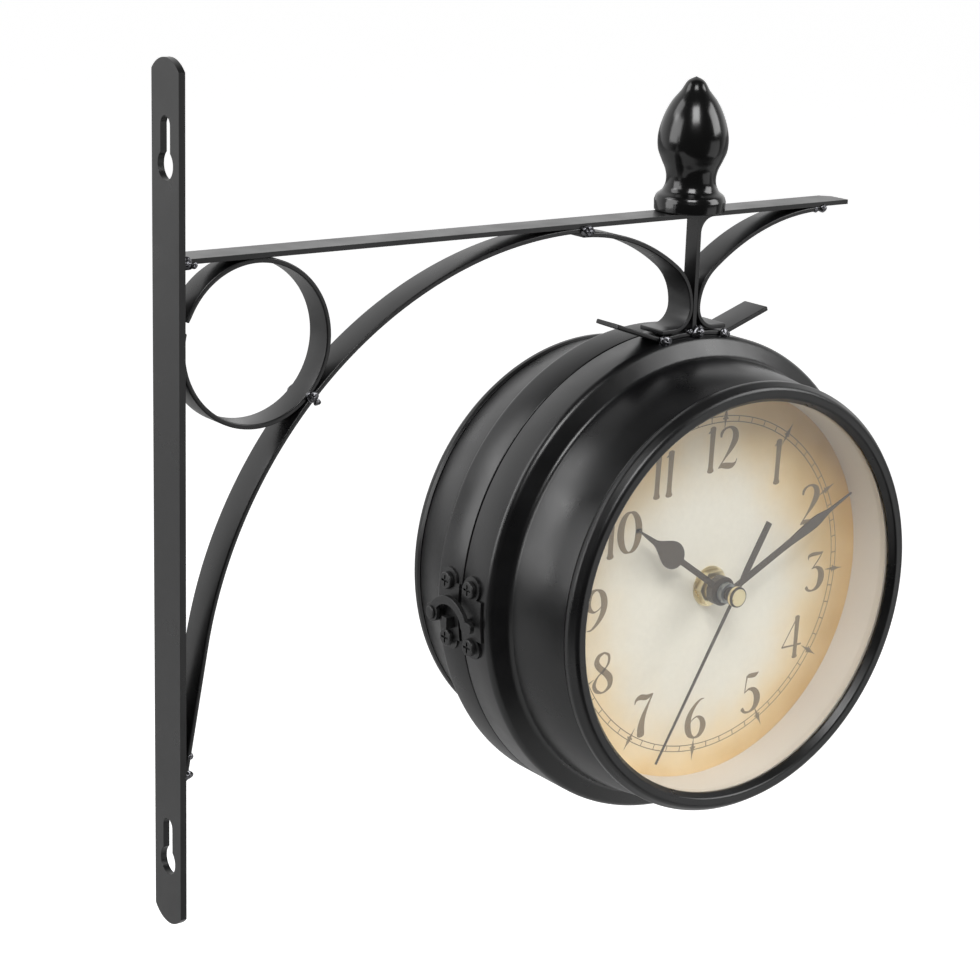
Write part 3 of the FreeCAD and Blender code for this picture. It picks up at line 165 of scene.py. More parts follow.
# %% Black finishes
powder_coat = finish_coat("black_powder_coated_steel", "#101011", "#0a0a0b", 14, 0.31, 0.05, 1.1, 0.006)
gloss_enamel = finish_coat("gloss_black_enamelled_steel", "#101010", "#0a0a0a", 20, 0.17, 0.03, 2.5, 0.004)
fitting_coat = finish_coat("thick_black_painted_zinc", "#1d1d1d", "#101011", 6, 0.42, 0.08, 0.8, 0.012)
print("black finishes", powder_coat.name, gloss_enamel.name, fitting_coat.name)

# %% [markdown]
# The movement is moulded black ABS with a spark-eroded grain. Nut and washers are lacquered brass,
# the contacts are nickel plated, and the hands are stamped aluminium in a matt taupe paint. The
# cream sleeve behind the glass is moulded polystyrene, which scatters a little light. On the weld
# beads the black coat is so thin that the steel glints through.

# %% Plastics and bare metals
moulded_abs = finish_coat("black_moulded_abs", "#232325", "#18181a", 8, 0.48, 0.05, 0.35, 0.01, ior=1.54)
brass = finish_coat("lacquered_brass", "#efe2bd", "#e3d09f", 4, 0.3, 0.05, 0.5, 0.003, metallic=1.0)
nickel = finish_coat("nickel_plated_steel", "#cfcdc8", "#bdbbb6", 5, 0.28, 0.06, 0.6, 0.003, metallic=1.0)
zinc = finish_coat("zinc_plated_steel", "#a9abab", "#8f9293", 5, 0.38, 0.08, 0.5, 0.004, metallic=1.0)
hand_paint = finish_coat("matt_taupe_painted_aluminium", "#453a2e", "#3b3127", 7, 0.42, 0.05, 0.5, 0.004)
weld_steel = finish_coat("thinly_coated_weld_steel", "#7a7a7c", "#55555a", 4, 0.27, 0.05, 0.8, 0.01,
                         metallic=1.0)
print_ink = finish_coat("screen_printed_taupe_ink", "#8e7b60", "#816f57", 3, 0.55, 0.05, 0.4, 0.002,
                        ior=1.45)
cream_plastic = finish_coat("cream_moulded_polystyrene", "#d2cac0", "#c9c1b7", 22, 0.5, 0.04, 0.9,
                            0.001, ior=1.59)
print("finishes so far", len(bpy.data.materials))

# %% [markdown]
# The pane is float glass 2 mm thick: smooth on both faces and very faintly grey. Nothing but the
# shader is needed, since it bends and mirrors light by its index of refraction.

# %% Glass
float_glass, tree, shader = new_material("clear_float_glass")
place = add(tree, "TexCoord").outputs["Object"]
feed(tree, shader, {"Transmission Weight": 1.0, "IOR": 1.52, "Roughness": 0.0,
                    "Base Color": blend(tree, noise(tree, place, 60, 1.0), "#f6f8f7", "#fcfdfc")})
print("glass IOR", shader.inputs["IOR"].default_value)

# %% [markdown]
# The dial is a card printed to look like old parchment: pale in the middle, toasted tan towards the
# rim, with the toast gathered in soft clouds. The distance from the dial's middle drives the change,
# and a wide noise pushes that distance in and out, so the edge of the tan wanders. A slight slope
# also pulls the tan further in at the top and the right of each dial: that part is painted shade.

# %% Parchment dial, with painted shade at top and right
CLOUD, CLOUD_PUSH, FIBRE = 38, 9.0, 1.6
WARM_FROM, WARM_TO, TOAST_FROM, TOAST_TO = 24.0, 66.0, 47.0, 78.0


def parchment(name, side):
    """Radial cream-to-tan print; a noise of CLOUD mm shifts the radius by up to CLOUD_PUSH mm.

    The print lies on the outer side only: past the middle of its thickness the card is bare board.
    A slope pulls the tan further in at the top and the right: that part is painted shade, not print.
    """
    made, tree, shader = new_material(name)
    hand = HAND[side]
    place = add(tree, "TexCoord").outputs["Object"]
    middle = add(tree, "Mapping", {"Vector": place, "Location": (-CLOCK_X * MM, 0, -CLOCK_Z * MM)})
    flat = add(tree, "VectorMath", {0: middle.outputs[0], 1: (1000.0, 0.0, 1000.0)}, operation="MULTIPLY")
    radius = add(tree, "VectorMath", {0: flat.outputs[0]}, operation="LENGTH").outputs["Value"]
    cloud = noise(tree, place, CLOUD, 3.0, Roughness=0.55)
    push = remap(tree, cloud, 0.25, 0.75, -CLOUD_PUSH, CLOUD_PUSH)
    # Painted shade: a slope that pulls the tan further in at the top and the right of the dial.
    lean = add(tree, "VectorMath", {0: flat.outputs[0], 1: (0.06 * hand, 0.0, 0.04)},
               operation="DOT_PRODUCT").outputs["Value"]
    reach = add(tree, "Math", {0: radius, 1: push}, operation="ADD").outputs[0]
    reach = add(tree, "Math", {0: reach, 1: lean}, operation="ADD").outputs[0]
    warm = remap(tree, reach, WARM_FROM, WARM_TO, 0.0, 1.0, "SMOOTHERSTEP")
    toast = remap(tree, reach, TOAST_FROM, TOAST_TO, 0.0, 1.0, "SMOOTHSTEP")
    edge = blend(tree, toast, blend(tree, warm, "#f1ebdd", "#f0d29c"), "#c99d52")
    fibre = noise(tree, place, FIBRE, 4.0)
    speck = remap(tree, fibre, 0.3, 0.7, 0.975, 1.015)
    half_way = (SEAM_Y - hand * (DEPTHS[side] - DIAL_SET_BACK - DIAL_THICKNESS / 2)) * MM
    printed = add(tree, "Math", {0: add(tree, "SeparateXYZ", {0: place}).outputs["Y"], 1: half_way},
                  operation="LESS_THAN" if hand > 0 else "GREATER_THAN")
    sheet = blend(tree, printed.outputs[0], "#b9b4a8", edge)
    paper = add(tree, "VectorMath", {0: sheet, 3: speck}, operation="SCALE")
    relief = add(tree, "Bump", {"Height": fibre, "Distance": 0.0015 * MM})
    feed(tree, shader, {"Base Color": paper.outputs[0], "Normal": relief.outputs[0], "IOR": 1.45,
                        "Roughness": remap(tree, fibre, 0.3, 0.7, 0.46, 0.56)})
    return made


dial_card = {side: parchment("parchment_printed_card_" + side, side) for side in DEPTHS}
print("dial cards", [m.name for m in dial_card.values()])

# %% [markdown]
# A dry cell wears a shrunk sleeve in two colours. The border between them is a step along X on
# Object coordinates, a third of the way from the end with the nub.

# %% Battery sleeve
SPLIT_X = CLOCK_X + 8.0
cell_sleeve, tree, shader = new_material("shrunk_pvc_cell_sleeve")
along = add(tree, "SeparateXYZ", {0: add(tree, "TexCoord").outputs["Object"]}).outputs[0]
border = add(tree, "Math", {0: along, 1: SPLIT_X * MM}, operation="GREATER_THAN")
feed(tree, shader, {"Base Color": blend(tree, border.outputs[0], "#2a2c31", "#b9793f"), "Roughness": 0.3})
print("cell sleeve split at x =", SPLIT_X, "mm")

# %% [markdown]
# ## Surfaces as formulas
# A strip is a small rounded rectangle carried along a bent line, and a case, ring or pane is an
# outline turned about an axis. Both are grids of points worked out as whole arrays. Neighbouring
# rows become four-sided faces, and the last step turns every face outwards.

# %% From a grid of points to a mesh
def spread(x, y, z):
    """Grid of points from three arrays that broadcast together."""
    return np.stack(np.broadcast_arrays(x, y, z), -1)


def normals(corners):
    """Normals of quads from corners[face, corner, axis]: the cross product of the diagonals."""
    return np.cross(corners[:, 2] - corners[:, 0], corners[:, 3] - corners[:, 1])


def closed_mesh(name, grid, loop_rows, poles=()):
    """Mesh from grid[i, j] in mm. Columns always close on themselves.

    Rows close too when loop_rows is set. Otherwise each end is closed by a fan to its pole, or by
    one flat face when there is none. The signed volume, a third of the sum of centre . normal over
    the faces, tells whether the faces point inwards, and then they are all turned round.
    """
    rows, columns = grid.shape[:2]
    index = np.arange(rows * columns).reshape(rows, columns)
    across = np.roll(index, -1, axis=1)
    if loop_rows:
        quads = np.stack([index, across, np.roll(across, -1, axis=0), np.roll(index, -1, axis=0)], -1)
    else:
        quads = np.stack([index[:-1], across[:-1], across[1:], index[1:]], -1)
    faces = quads.reshape(-1, 4).tolist()
    points = grid.reshape(-1, 3)
    if not loop_rows and len(poles):
        start, end = rows * columns, rows * columns + 1
        faces += [[start, b, a] for a, b in zip(index[0].tolist(), across[0].tolist())]
        faces += [[end, a, b] for a, b in zip(index[-1].tolist(), across[-1].tolist())]
        points = np.concatenate([points, np.array(poles, float)])
    elif not loop_rows:
        faces += [index[0][::-1].tolist(), index[-1].tolist()]
    corners = points[quads.reshape(-1, 4)] - points.mean(0)
    if (corners.mean(1) * normals(corners)).sum() < 0:
        faces = [face[::-1] for face in faces]
    mesh = bpy.data.meshes.new(name)
    mesh.from_pydata((points * MM).tolist(), [], faces)
    mesh.shade_smooth()
    return mesh


def join_meshes(name, meshes):
    """One mesh from several separate closed ones."""
    joined = bmesh.new()
    for mesh in meshes:
        joined.from_mesh(mesh)
    made = bpy.data.meshes.new(name)
    joined.to_mesh(made)
    joined.free()
    made.shade_smooth()
    return made


def show(name, data):
    """Put a mesh, a lamp or the camera into the scene."""
    made = bpy.data.objects.new(name, data)
    bpy.context.scene.collection.objects.link(made)
    return made


def ride_along(mesh, node, material):
    """Show a mesh that moves with the body of one CAD node."""
    piece = show(mesh.name, mesh)
    mesh.materials.clear()
    mesh.materials.append(material)
    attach(piece, body_of[node])
    return piece


def dress(mesh, node, material):
    """Show a mesh in place of one CAD node."""
    piece = ride_along(mesh, node, material)
    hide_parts(node)
    return piece


# %% [markdown]
# Sheet metal never has a knife edge: shearing and paint leave a round of a few tenths, and that
# round is what catches the light. Each corner of an outline is therefore an arc, with one more point
# just beyond each end of it, so that the shading stays flat right up to the round.

# %% Rounded outlines
GUARD = 0.12


def unit(way):
    """Vectors of length 1 along one vector or along each row."""
    return way / np.linalg.norm(way, axis=-1, keepdims=True)


def rounded(corners, closed=True, steps=7):
    """Points of a 2-D outline whose (u, v, radius) corners are arcs tangent to both sides.

    With half the opening angle w, the arc starts radius / tan(w) from the corner and its middle
    lies radius / sin(w) away along the bisector.
    """
    points = []
    count = len(corners)
    for i, (u, v, radius) in enumerate(corners):
        here = np.array((u, v), float)
        if radius <= 0 or (not closed and i in (0, count - 1)):
            points.append(here[None])
            continue
        back = unit(np.array(corners[i - 1][:2]) - here)
        ahead = unit(np.array(corners[(i + 1) % count][:2]) - here)
        half = math.acos(np.clip(back @ ahead, -1, 1)) / 2
        middle = here + unit(back + ahead) * radius / math.sin(half)
        start = here + back * radius / math.tan(half) - middle
        end = here + ahead * radius / math.tan(half) - middle
        sweep = math.pi - 2 * half
        share = np.linspace(0, 1, steps)[:, None]
        arc = middle + (np.sin((1 - share) * sweep) * start + np.sin(share * sweep) * end) / math.sin(sweep)
        points.append(np.concatenate([arc[:1] + back * GUARD, arc, arc[-1:] + ahead * GUARD]))
    return np.concatenate(points)


# %% [markdown]
# ## Turned pieces
# Half cases, bezels, sleeves, dials, panes and the finial are all round about an axis, as they are
# when spun or turned on a lathe. The rear half of the clock is the front half turned by half a turn
# about the upright line through the seam, so one function places both.

# %% Turning an outline about the clock's axis
def clock_points(radius, angle, distance, side):
    """x = r sin t, z = r cos t about the clock's axis; distance runs from the seam to a dial."""
    return spread(CLOCK_X + HAND[side] * radius * np.sin(angle), SEAM_Y - HAND[side] * distance,
                  CLOCK_Z + radius * np.cos(angle))


def turned(name, outline, side, loop=True, turns=256):
    """Point(i, j) of outline point i turned by t = 2 pi j / turns. An open outline ends on the axis."""
    angle = np.linspace(0, 2 * np.pi, turns, endpoint=False)[None]
    if loop:
        return closed_mesh(name, clock_points(outline[:, :1], angle, outline[:, 1:], side), True)
    inner = outline[1:-1]
    ends = clock_points(outline[[0, -1], :1] * 0, np.zeros((1, 1)), outline[[0, -1], 1:], side)[:, 0]
    return closed_mesh(name, clock_points(inner[:, :1], angle, inner[:, 1:], side), False, ends)


def shell_outline(corners, wall, rim=0.3):
    """Closed outline of a bent wall: the outer line, then the same line moved in along its normals.

    The outer line is first shortened by rim at both ends, and half ellipses close the two rims.
    """
    outer = rounded(corners, closed=False, steps=12)
    for a, b in ((0, 1), (-1, -2)):
        outer[a] += unit(outer[b] - outer[a]) * rim
    slope = unit(np.gradient(outer, axis=0))
    inward = np.stack([-slope[:, 1], slope[:, 0]], -1)
    inner = outer + inward * wall
    half = np.linspace(0, np.pi, 7)[1:-1, None]

    def cap(start, end, out):
        return (start + end) / 2 + np.cos(half) * (start - end) / 2 + np.sin(half) * out * rim

    return np.concatenate([outer, cap(outer[-1], inner[-1], slope[-1]), inner[::-1],
                           cap(inner[0], outer[0], -slope[0])])


# %% [markdown]
# Each half case is drawn from sheet: a flat band, a rounded step and a neck that narrows a little
# towards the glass. The bezel is a rolled ring with a soft crest. Between them a narrow groove stays
# open and reads as a dark line.

# %% Half cases and bezels
for side, depth in DEPTHS.items():
    case = shell_outline([(BAND_RADIUS, SEAM_GAP, 0), (BAND_RADIUS, BAND_WIDTH, BAND_FILLET),
                          (STEP_RADIUS, BAND_WIDTH + STEP_DEPTH, STEP_FILLET),
                          (NECK_END_RADIUS, depth - NECK_SET_BACK, 0)], CASE_WALL)
    dress(turned(side + "_case_shell", case, side), side + "_case", powder_coat)
    skirt = NECK_END_RADIUS - CASE_WALL - SKIRT_GAP
    bore = skirt - SKIRT_WALL
    seat, crest = depth + GLASS_SEAT, depth + BEZEL_RISE
    back = depth - NECK_SET_BACK + BEZEL_GROOVE
    ring = rounded([(APERTURE_RADIUS, seat, 0.1), (APERTURE_RADIUS, depth + 1.1, 0.35),
                    (BEZEL_CREST_RADIUS - 1.6, crest, 1.2), (BEZEL_CREST_RADIUS + 1.4, crest, 2.0),
                    (BEZEL_RADIUS, depth + 0.5, 1.6), (BEZEL_RADIUS, back + 1.0, 0.6),
                    (NECK_END_RADIUS + 0.1, back, 0.15), (skirt, back, 0.1),
                    (skirt, back - SKIRT_LENGTH, 0.2), (bore, back - SKIRT_LENGTH, 0.2),
                    (bore, seat, 0.1)], steps=9)
    dress(turned(side + "_bezel_ring", ring, side), side + "_bezel", powder_coat)
    print(side, "case outline points", len(case), "bezel", len(ring))

# %% [markdown]
# The pane lies against the bezel's lip, and a cream sleeve hides the bare metal between pane and
# card. The pane throws no shadow here: a renderer would take it for solid when it looks for a lamp,
# though real light passes through.

# %% Sleeves, dials and panes
for side, depth in DEPTHS.items():
    face, seat = depth - DIAL_SET_BACK, depth + GLASS_SEAT
    card_back, pane_back = face - DIAL_THICKNESS, seat - GLASS_THICKNESS
    bore = APERTURE_RADIUS + SLEEVE_GAP
    wall, flange, foot = bore + SLEEVE_WALL, face + SLEEVE_FLANGE, face + SLEEVE_LIFT
    neck_start = BAND_WIDTH + STEP_DEPTH
    slope = (STEP_RADIUS - NECK_END_RADIUS) / (depth - NECK_SET_BACK - neck_start)
    inside = STEP_RADIUS - (face - neck_start) * slope - CASE_WALL * math.hypot(1, slope)
    room = inside - SLEEVE_PLAY
    tube = rounded([(bore, foot, 0.1), (bore, pane_back, 0.2), (wall, pane_back, 0.2),
                    (wall, flange, 0.1), (room, flange, 0.2), (room, foot, 0.2)])
    dress(turned(side + "_sleeve", tube, side), side + "_spacer_sleeve", cream_plastic)
    card = rounded([(BUSH_RADIUS, card_back, 0.1), (room, card_back, 0.1),
                    (room, face, 0.1), (BUSH_RADIUS, face, 0.1)])
    dress(turned(side + "_dial_card", card, side), side + "_dial", dial_card[side])
    pane_radius = NECK_END_RADIUS - CASE_WALL - GLASS_PLAY
    pane = rounded([(0, seat, 0), (pane_radius, seat, 0.3), (pane_radius, pane_back, 0.3),
                    (0, pane_back, 0)], closed=False)
    glass = dress(turned(side + "_pane", pane, side, loop=False), side + "_glass", float_glass)
    glass.visible_shadow = False
    top = face + BUSH_RISE
    share = np.linspace(0, 1, 85)[:, None]
    groove = THREAD_DEPTH * (1 - np.cos(share * 2 * np.pi * THREAD_TURNS)) / 2
    ridges = np.concatenate([BUSH_RADIUS - groove, card_back + share * (top - card_back)], 1)
    inner = rounded([(BUSH_RADIUS, top, 0), (BUSH_BORE, top, 0.15), (BUSH_BORE, card_back, 0),
                     (BUSH_RADIUS, card_back, 0)], closed=False)[1:-1]
    bush = np.concatenate([ridges, inner])
    dress(turned(side + "_bush", bush, side, turns=64), side + "_threaded_bushing", brass)
    print(side, "dial face at", round(SEAM_Y - HAND[side] * face, 2), "card radius", round(room, 2))

# %% [markdown]
# ## The dial's print
# Hour numbers and the minute track are screen printed. Each figure is a few pen strokes: a smooth
# line through a handful of points, with a width at each, so that it swells and thins as a broad nib
# does. Places and widths are hundredths of the figure's height, with (0, 0) at the foot on the left.

# %% Pen strokes of the figures
SIX = [[(47, 97, 2.5), (36, 95.5, 5), (21, 82, 8.5), (8, 60, 13), (4.5, 36, 15.5),
        (10, 14, 13), (24, 2, 5), (39, 7, 10), (47.5, 25, 15), (44, 43, 12), (31, 54, 5),
        (19, 50, 3.5), (9, 40, 3)]]
FIGURES = {
    "0": [[(29 + 24 * math.cos(a), 50 + 47.5 * math.sin(a), 4.5 + 12 * abs(math.cos(a)))
           for a in np.linspace(0, 2 * math.pi, 17)]],
    "1": [[(13, 0, 17), (13, 10, 12.5), (14, 50, 12), (15, 90, 13.5), (15, 100, 15)],
          [(3, 90, 3), (8, 93.5, 5), (14, 96.5, 7)]],
    "2": [[(5, 78, 6), (7, 88, 7.5), (17, 96.5, 5), (31, 97.5, 6), (43, 87, 13), (45, 70, 15.5),
           (36, 50, 12), (20, 27, 5.5), (3, 4.5, 3)],
          [(2, 3, 3), (12, 7.5, 10), (26, 5.5, 12.5), (38, 5, 11), (48, 10, 5), (52, 20, 2)]],
    "3": [[(5, 82, 2), (7, 92, 7), (20, 95, 8.5), (36, 94.5, 7), (47, 97, 3)],
          [(46, 96.5, 3.5), (36, 80, 4), (20, 60, 3.5)],
          [(17, 58.5, 3), (31, 60, 6), (44, 48, 14), (46, 29, 16.5), (38, 10, 11),
           (23, 2, 5), (10, 4.5, 6), (4, 12, 8.5)]],
    "4": [[(40, 0, 15), (40, 8, 11), (41, 50, 11), (42, 92, 12), (42, 100, 13)],
          [(40, 97, 4), (20, 62, 3.5), (2, 30, 3.5)],
          [(1, 29, 5), (28, 28.5, 4.5), (56, 29, 5)]],
    "5": [[(13, 93, 3), (20, 95.5, 9), (36, 95.5, 10), (47, 100, 3)],
          [(14.5, 95, 5), (12, 75, 4), (10, 55, 3.5)],
          [(9, 53.5, 3), (22, 61, 5.5), (38, 55, 12), (47, 36, 16.5), (43, 15, 13),
           (29, 3, 5.5), (14, 3, 6), (5, 12, 9)]],
    "6": SIX,
    "7": [[(2, 80, 3), (6, 90, 7), (18, 94.5, 11.5), (33, 91.5, 11), (50, 97, 4)],
          [(49, 95.5, 4), (38, 72, 6.5), (27, 45, 11.5), (22, 20, 16.5), (22, 0, 18)]],
    "8": [[(29, 98.5, 4.5), (15, 92, 9), (10, 77, 12.5), (19, 62, 13), (34, 49, 13.5),
           (46, 33, 14.5), (46, 14, 10), (30, 1.5, 4.5), (12, 8, 8.5), (5.5, 24, 9),
           (14, 42, 4.5), (30, 56, 3.5), (41, 72, 6), (41, 90, 6.5), (29, 98.5, 4.5)]],
    "9": [[(52 - x, 98.5 - y, w) for x, y, w in SIX[0]]],
}
USUAL_ADVANCE, ADVANCE = 52, {"1": 33, "0": 60}


def pen_line(points, per_span=10, cap=5):
    """Left and right edge of a stroke.

    A Catmull-Rom curve runs through the points and is moved by half its width along the normal, with
    a low half round, 0.6 as high as a full one, added at both ends.
    """
    knots = np.array(points, float)
    padded = np.concatenate([2 * knots[:1] - knots[1:2], knots, 2 * knots[-1:] - knots[-2:-1]])
    t = np.linspace(0, 1, per_span, endpoint=False)[:, None, None]
    a, b, c, d = padded[:-3], padded[1:-2], padded[2:-1], padded[3:]
    curve = 0.5 * (2 * b + (c - a) * t + (2 * a - 5 * b + 4 * c - d) * t ** 2
                   + (3 * b - a - 3 * c + d) * t ** 3)
    line = np.concatenate([curve.transpose(1, 0, 2).reshape(-1, 3), knots[-1:]])
    heading = unit(np.gradient(line[:, :2], axis=0))
    turn = np.linspace(np.pi / 2, 0, cap, endpoint=False)[:, None]
    ends = []
    for k, way in ((0, -1), (-1, 1)):
        half = line[k, 2] / 2
        spots = line[k, :2] + way * heading[k] * half * 0.6 * np.sin(turn)
        ends.append(np.concatenate([spots, 2 * half * np.cos(turn)], 1))
    line = np.concatenate([ends[0], line, ends[1][::-1]])
    heading = np.concatenate([np.repeat(heading[:1], cap, 0), heading, np.repeat(heading[-1:], cap, 0)])
    normal = np.stack([-heading[:, 1], heading[:, 0]], -1) * line[:, 2:] / 2
    return np.stack([line[:, :2] + normal, line[:, :2] - normal], 1)


# %% [markdown]
# The numbers stand upright round the card, each at the angle and the distance from the middle that
# the card's print has. The whole print sits about three degrees clockwise of true, as it does on
# the real clock. The minute track is two thin rings with a stroke for each minute and a small spear
# point at each hour.

# %% Laying the print on both cards
FIGURE_HEIGHT, FIGURE_SPREAD = 13.8, 1.12
PEN_GAIN, PEN_CUT = 1.32, 0.012
NUMBER_PLACES = {12: (3.1, 45.9), 1: (34.6, 46.3), 2: (63.7, 48.0), 3: (93.4, 47.4),
                 4: (122.5, 46.1), 5: (152.6, 46.5), 6: (183.0, 45.6), 7: (212.6, 46.9),
                 8: (243.1, 48.4), 9: (269.8, 47.0), 10: (301.9, 44.0), 11: (330.8, 46.1)}
PRINT_TURN = math.radians(3.1)
TRACK_INNER, TRACK_OUTER, TRACK_LINE, MINUTE_LINE = 54.6, 56.5, 0.3, 0.34
SPEAR_INNER, SPEAR_OUTER = 52.2, 60.0
SPEAR_WIDTHS = [0.15, 0.3, 0.55, 1.0, 1.55, 1.2, 0.6, 0.35, 0.1]
BARB_INNER, BARB_OUTER, BARB_WIDTH = 55.4, 55.9, 2.4
INK_HEIGHT, INK_STAGGER = 0.03, 0.002


def number_strokes(number, angle, radius):
    """Strokes of one number in dial millimetres, its own box centred at the given angle and radius."""
    text = str(number)
    starts = np.cumsum([0] + [ADVANCE.get(c, USUAL_ADVANCE) for c in text])
    strokes = [(np.array(stroke) + (starts[k], 0, 0)) / 100
               for k, c in enumerate(text) for stroke in FIGURES[c]]
    low, high = np.concatenate(strokes)[:, 0].min(), np.concatenate(strokes)[:, 0].max()
    middle = np.array([radius * math.sin(angle), radius * math.cos(angle)])
    offset = np.array([(low + high) / 2, 0.5, 0.0])
    size = FIGURE_HEIGHT * np.array([FIGURE_SPREAD, 1.0, PEN_GAIN])
    cut = np.array([0.0, 0.0, PEN_CUT])
    return [(stroke - offset - cut) * size + np.array([*middle, 0.0]) for stroke in strokes]


def ring_line(radius):
    """A thin ring as left and right edges."""
    t = np.linspace(0, 2 * np.pi, 181)[:, None]
    way = np.concatenate([np.sin(t), np.cos(t)], 1)
    return np.stack([way * (radius - TRACK_LINE / 2), way * (radius + TRACK_LINE / 2)], 1)


def ray(angle, inner, outer, widths):
    """A straight mark along a radius, with a width at each evenly spaced point of it."""
    along = np.linspace(inner, outer, len(widths))[:, None]
    way = np.array([[math.sin(angle), math.cos(angle)]])
    across = np.array([[math.cos(angle), -math.sin(angle)]]) * np.array(widths)[:, None] / 2
    return np.stack([way * along - across, way * along + across], 1)


def print_mesh(name, lines, side):
    """Flat film of ink just off the card. Each line is a strip of faces turned towards the viewer.

    Neighbouring lines lie at slightly different heights, so strokes that cross share no plane.
    """
    face, hand = DEPTHS[side] - DIAL_SET_BACK + INK_HEIGHT, HAND[side]
    points, faces, first = [], [], 0
    for k, line in enumerate(lines):
        flat = line.reshape(-1, 2)
        lift = face + INK_STAGGER * (k % 5)
        points.append(spread(CLOCK_X + hand * flat[:, 0], SEAM_Y - hand * lift, CLOCK_Z + flat[:, 1]))
        i = first + 2 * np.arange(len(line) - 1)[:, None]
        faces.append(np.concatenate([i, i + 1, i + 3, i + 2], 1))
        first += len(flat)
    points, faces = np.concatenate(points), np.concatenate(faces)
    wrong = normals(points[faces])[:, 1] * hand > 0
    faces[wrong] = faces[wrong][:, ::-1]
    mesh = bpy.data.meshes.new(name)
    mesh.from_pydata((points * MM).tolist(), [], faces.tolist())
    return mesh


for side in DEPTHS:
    numbers = [pen_line(stroke) for number, (angle, radius) in NUMBER_PLACES.items()
               for stroke in number_strokes(number, math.radians(angle), radius)]
    track = [ring_line(TRACK_INNER), ring_line(TRACK_OUTER)]
    for minute in range(60):
        angle = PRINT_TURN + minute * math.pi / 30
        track.append(ray(angle, TRACK_INNER, TRACK_OUTER, [MINUTE_LINE] * 2))
        if minute % 5 == 0:
            track.append(ray(angle, SPEAR_INNER, SPEAR_OUTER, SPEAR_WIDTHS))
            track.append(ray(angle, BARB_INNER, BARB_OUTER, [BARB_WIDTH] * 2))
    for name, lines in (("hour_numbers", numbers), ("minute_track", track)):
        mesh = print_mesh(side + "_" + name, lines, side)
        ride_along(mesh, side + "_dial", print_ink)
        print(mesh.name, "faces", len(mesh.polygons))

# %% [markdown]
# ## Bent strips
# The bracket is flat bar, bent cold round formers, so each strip is straight runs and round bends
# that meet without a kink. The line is walked along once, and the bar's rounded section is then
# carried along it at right angles. Near each end the section shrinks by r - sqrt(r^2 - (r - d)^2),
# which is the same small round as along the edges.

# %% Walking a bent line
def walk(start, heading, moves):
    """Dense points (x, z, heading) of a line of ("run", length) and ("bend", radius, degrees) moves.

    On a bend of radius R the heading grows evenly and the point is the middle + R (sin, -cos) of it.
    """
    x, z = start
    angle = math.radians(heading)
    pieces = []
    for kind, size, *degrees in moves:
        if kind == "run":
            way = np.linspace(0, size, max(2, int(size)))
            piece = [x + way * math.cos(angle), z + way * math.sin(angle), angle + 0 * way]
        else:
            turn = math.radians(degrees[0])
            r = math.copysign(size, turn)
            a = angle + np.linspace(0, turn, max(8, int(abs(degrees[0]) * 1.2)))
            middle_x, middle_z = x - r * math.sin(angle), z + r * math.cos(angle)
            piece = [middle_x + r * np.sin(a), middle_z - r * np.cos(a), a]
        pieces.append(np.stack(piece, -1))
        x, z, angle = pieces[-1][-1]
    line = np.concatenate(pieces)
    return line[np.concatenate([[True], np.hypot(*np.diff(line[:, :2], axis=0).T) > 1e-6])]


def strip(name, line, hand, node, width=BAR_WIDTH, edge=0.35):
    """Rounded bar section carried along a line in the X-Z plane; the bar lies left of it for hand 1."""
    length = np.concatenate([[0], np.cumsum(np.hypot(*np.diff(line[:, :2], axis=0).T))])
    quarter = np.linspace(0, np.pi / 2, 5)
    ends = edge * (1 - np.cos(quarter))
    stations = np.concatenate([ends, np.arange(edge + GUARD, length[-1] - edge - GUARD, 0.9),
                               length[-1] - edge - GUARD + np.zeros(1), length[-1] - ends[::-1]])
    x, z, angle = (np.interp(stations, length, line[:, k]) for k in range(3))
    near_end = np.minimum(np.minimum(stations, length[-1] - stations), edge)
    shrink = edge - np.sqrt(np.maximum(edge ** 2 - (edge - near_end) ** 2, 0))
    a, b = width / 2, HALF_BAR
    turn = np.concatenate([quarter + k * np.pi / 2 for k in range(4)])
    radius = np.maximum(edge - shrink, 0.01)[:, None]
    y = (a - edge) * np.repeat([1, -1, -1, 1], 5) + radius * np.cos(turn)
    n = (b - edge) * np.repeat([1, 1, -1, -1], 5) + radius * np.sin(turn) + hand * b
    normal_x, normal_z = -np.sin(angle)[:, None], np.cos(angle)[:, None]
    grid = spread(x[:, None] + n * normal_x, y, z[:, None] + n * normal_z)
    dress(closed_mesh(name, grid, False), node, powder_coat)


# %% [markdown]
# The brace leaves the strap with a slight lean and sweeps up to the arm. The ring in the corner
# touches strap, arm and brace, which fixes its size: its radius r solves
# (r + R)^2 = (a - r)^2 + (R - r)^2, with R the brace's radius and a its reach from the strap.

# %% Brace and ring
lean = math.radians(BRACE_LEAN)
brace_radius = (ARM_UNDERSIDE - BRACE_FOOT - BRACE_RUN * math.cos(lean)) / (1 - math.sin(lean))
brace_end = STRAP_THICKNESS + BRACE_RUN * math.sin(lean) + brace_radius * math.cos(lean)
half_sum = brace_end - STRAP_THICKNESS + 2 * brace_radius
ring_radius = half_sum - math.sqrt(half_sum ** 2 - (brace_end - STRAP_THICKNESS) ** 2)
ring_x, ring_z = STRAP_THICKNESS + ring_radius, ARM_UNDERSIDE - ring_radius
brace_line = walk((STRAP_THICKNESS, BRACE_FOOT), 90 - BRACE_LEAN,
                  [("run", BRACE_RUN), ("bend", brace_radius, BRACE_LEAN - 90)])
strip("brace_strip", brace_line, -1, "brace_arc")
first = math.radians(RING_GAP_END)
ring_bend = 360 - RING_GAP_END + RING_GAP_START
rolled_line = walk((ring_x + ring_radius * math.cos(first), ring_z + ring_radius * math.sin(first)),
                   RING_GAP_END + 90, [("bend", ring_radius, ring_bend), ("run", RING_TAIL)])
strip("ring_strip", rolled_line, 1, "corner_ring", RING_WIDTH)
print("brace radius", round(brace_radius, 2), "ring radius", round(ring_radius, 2))

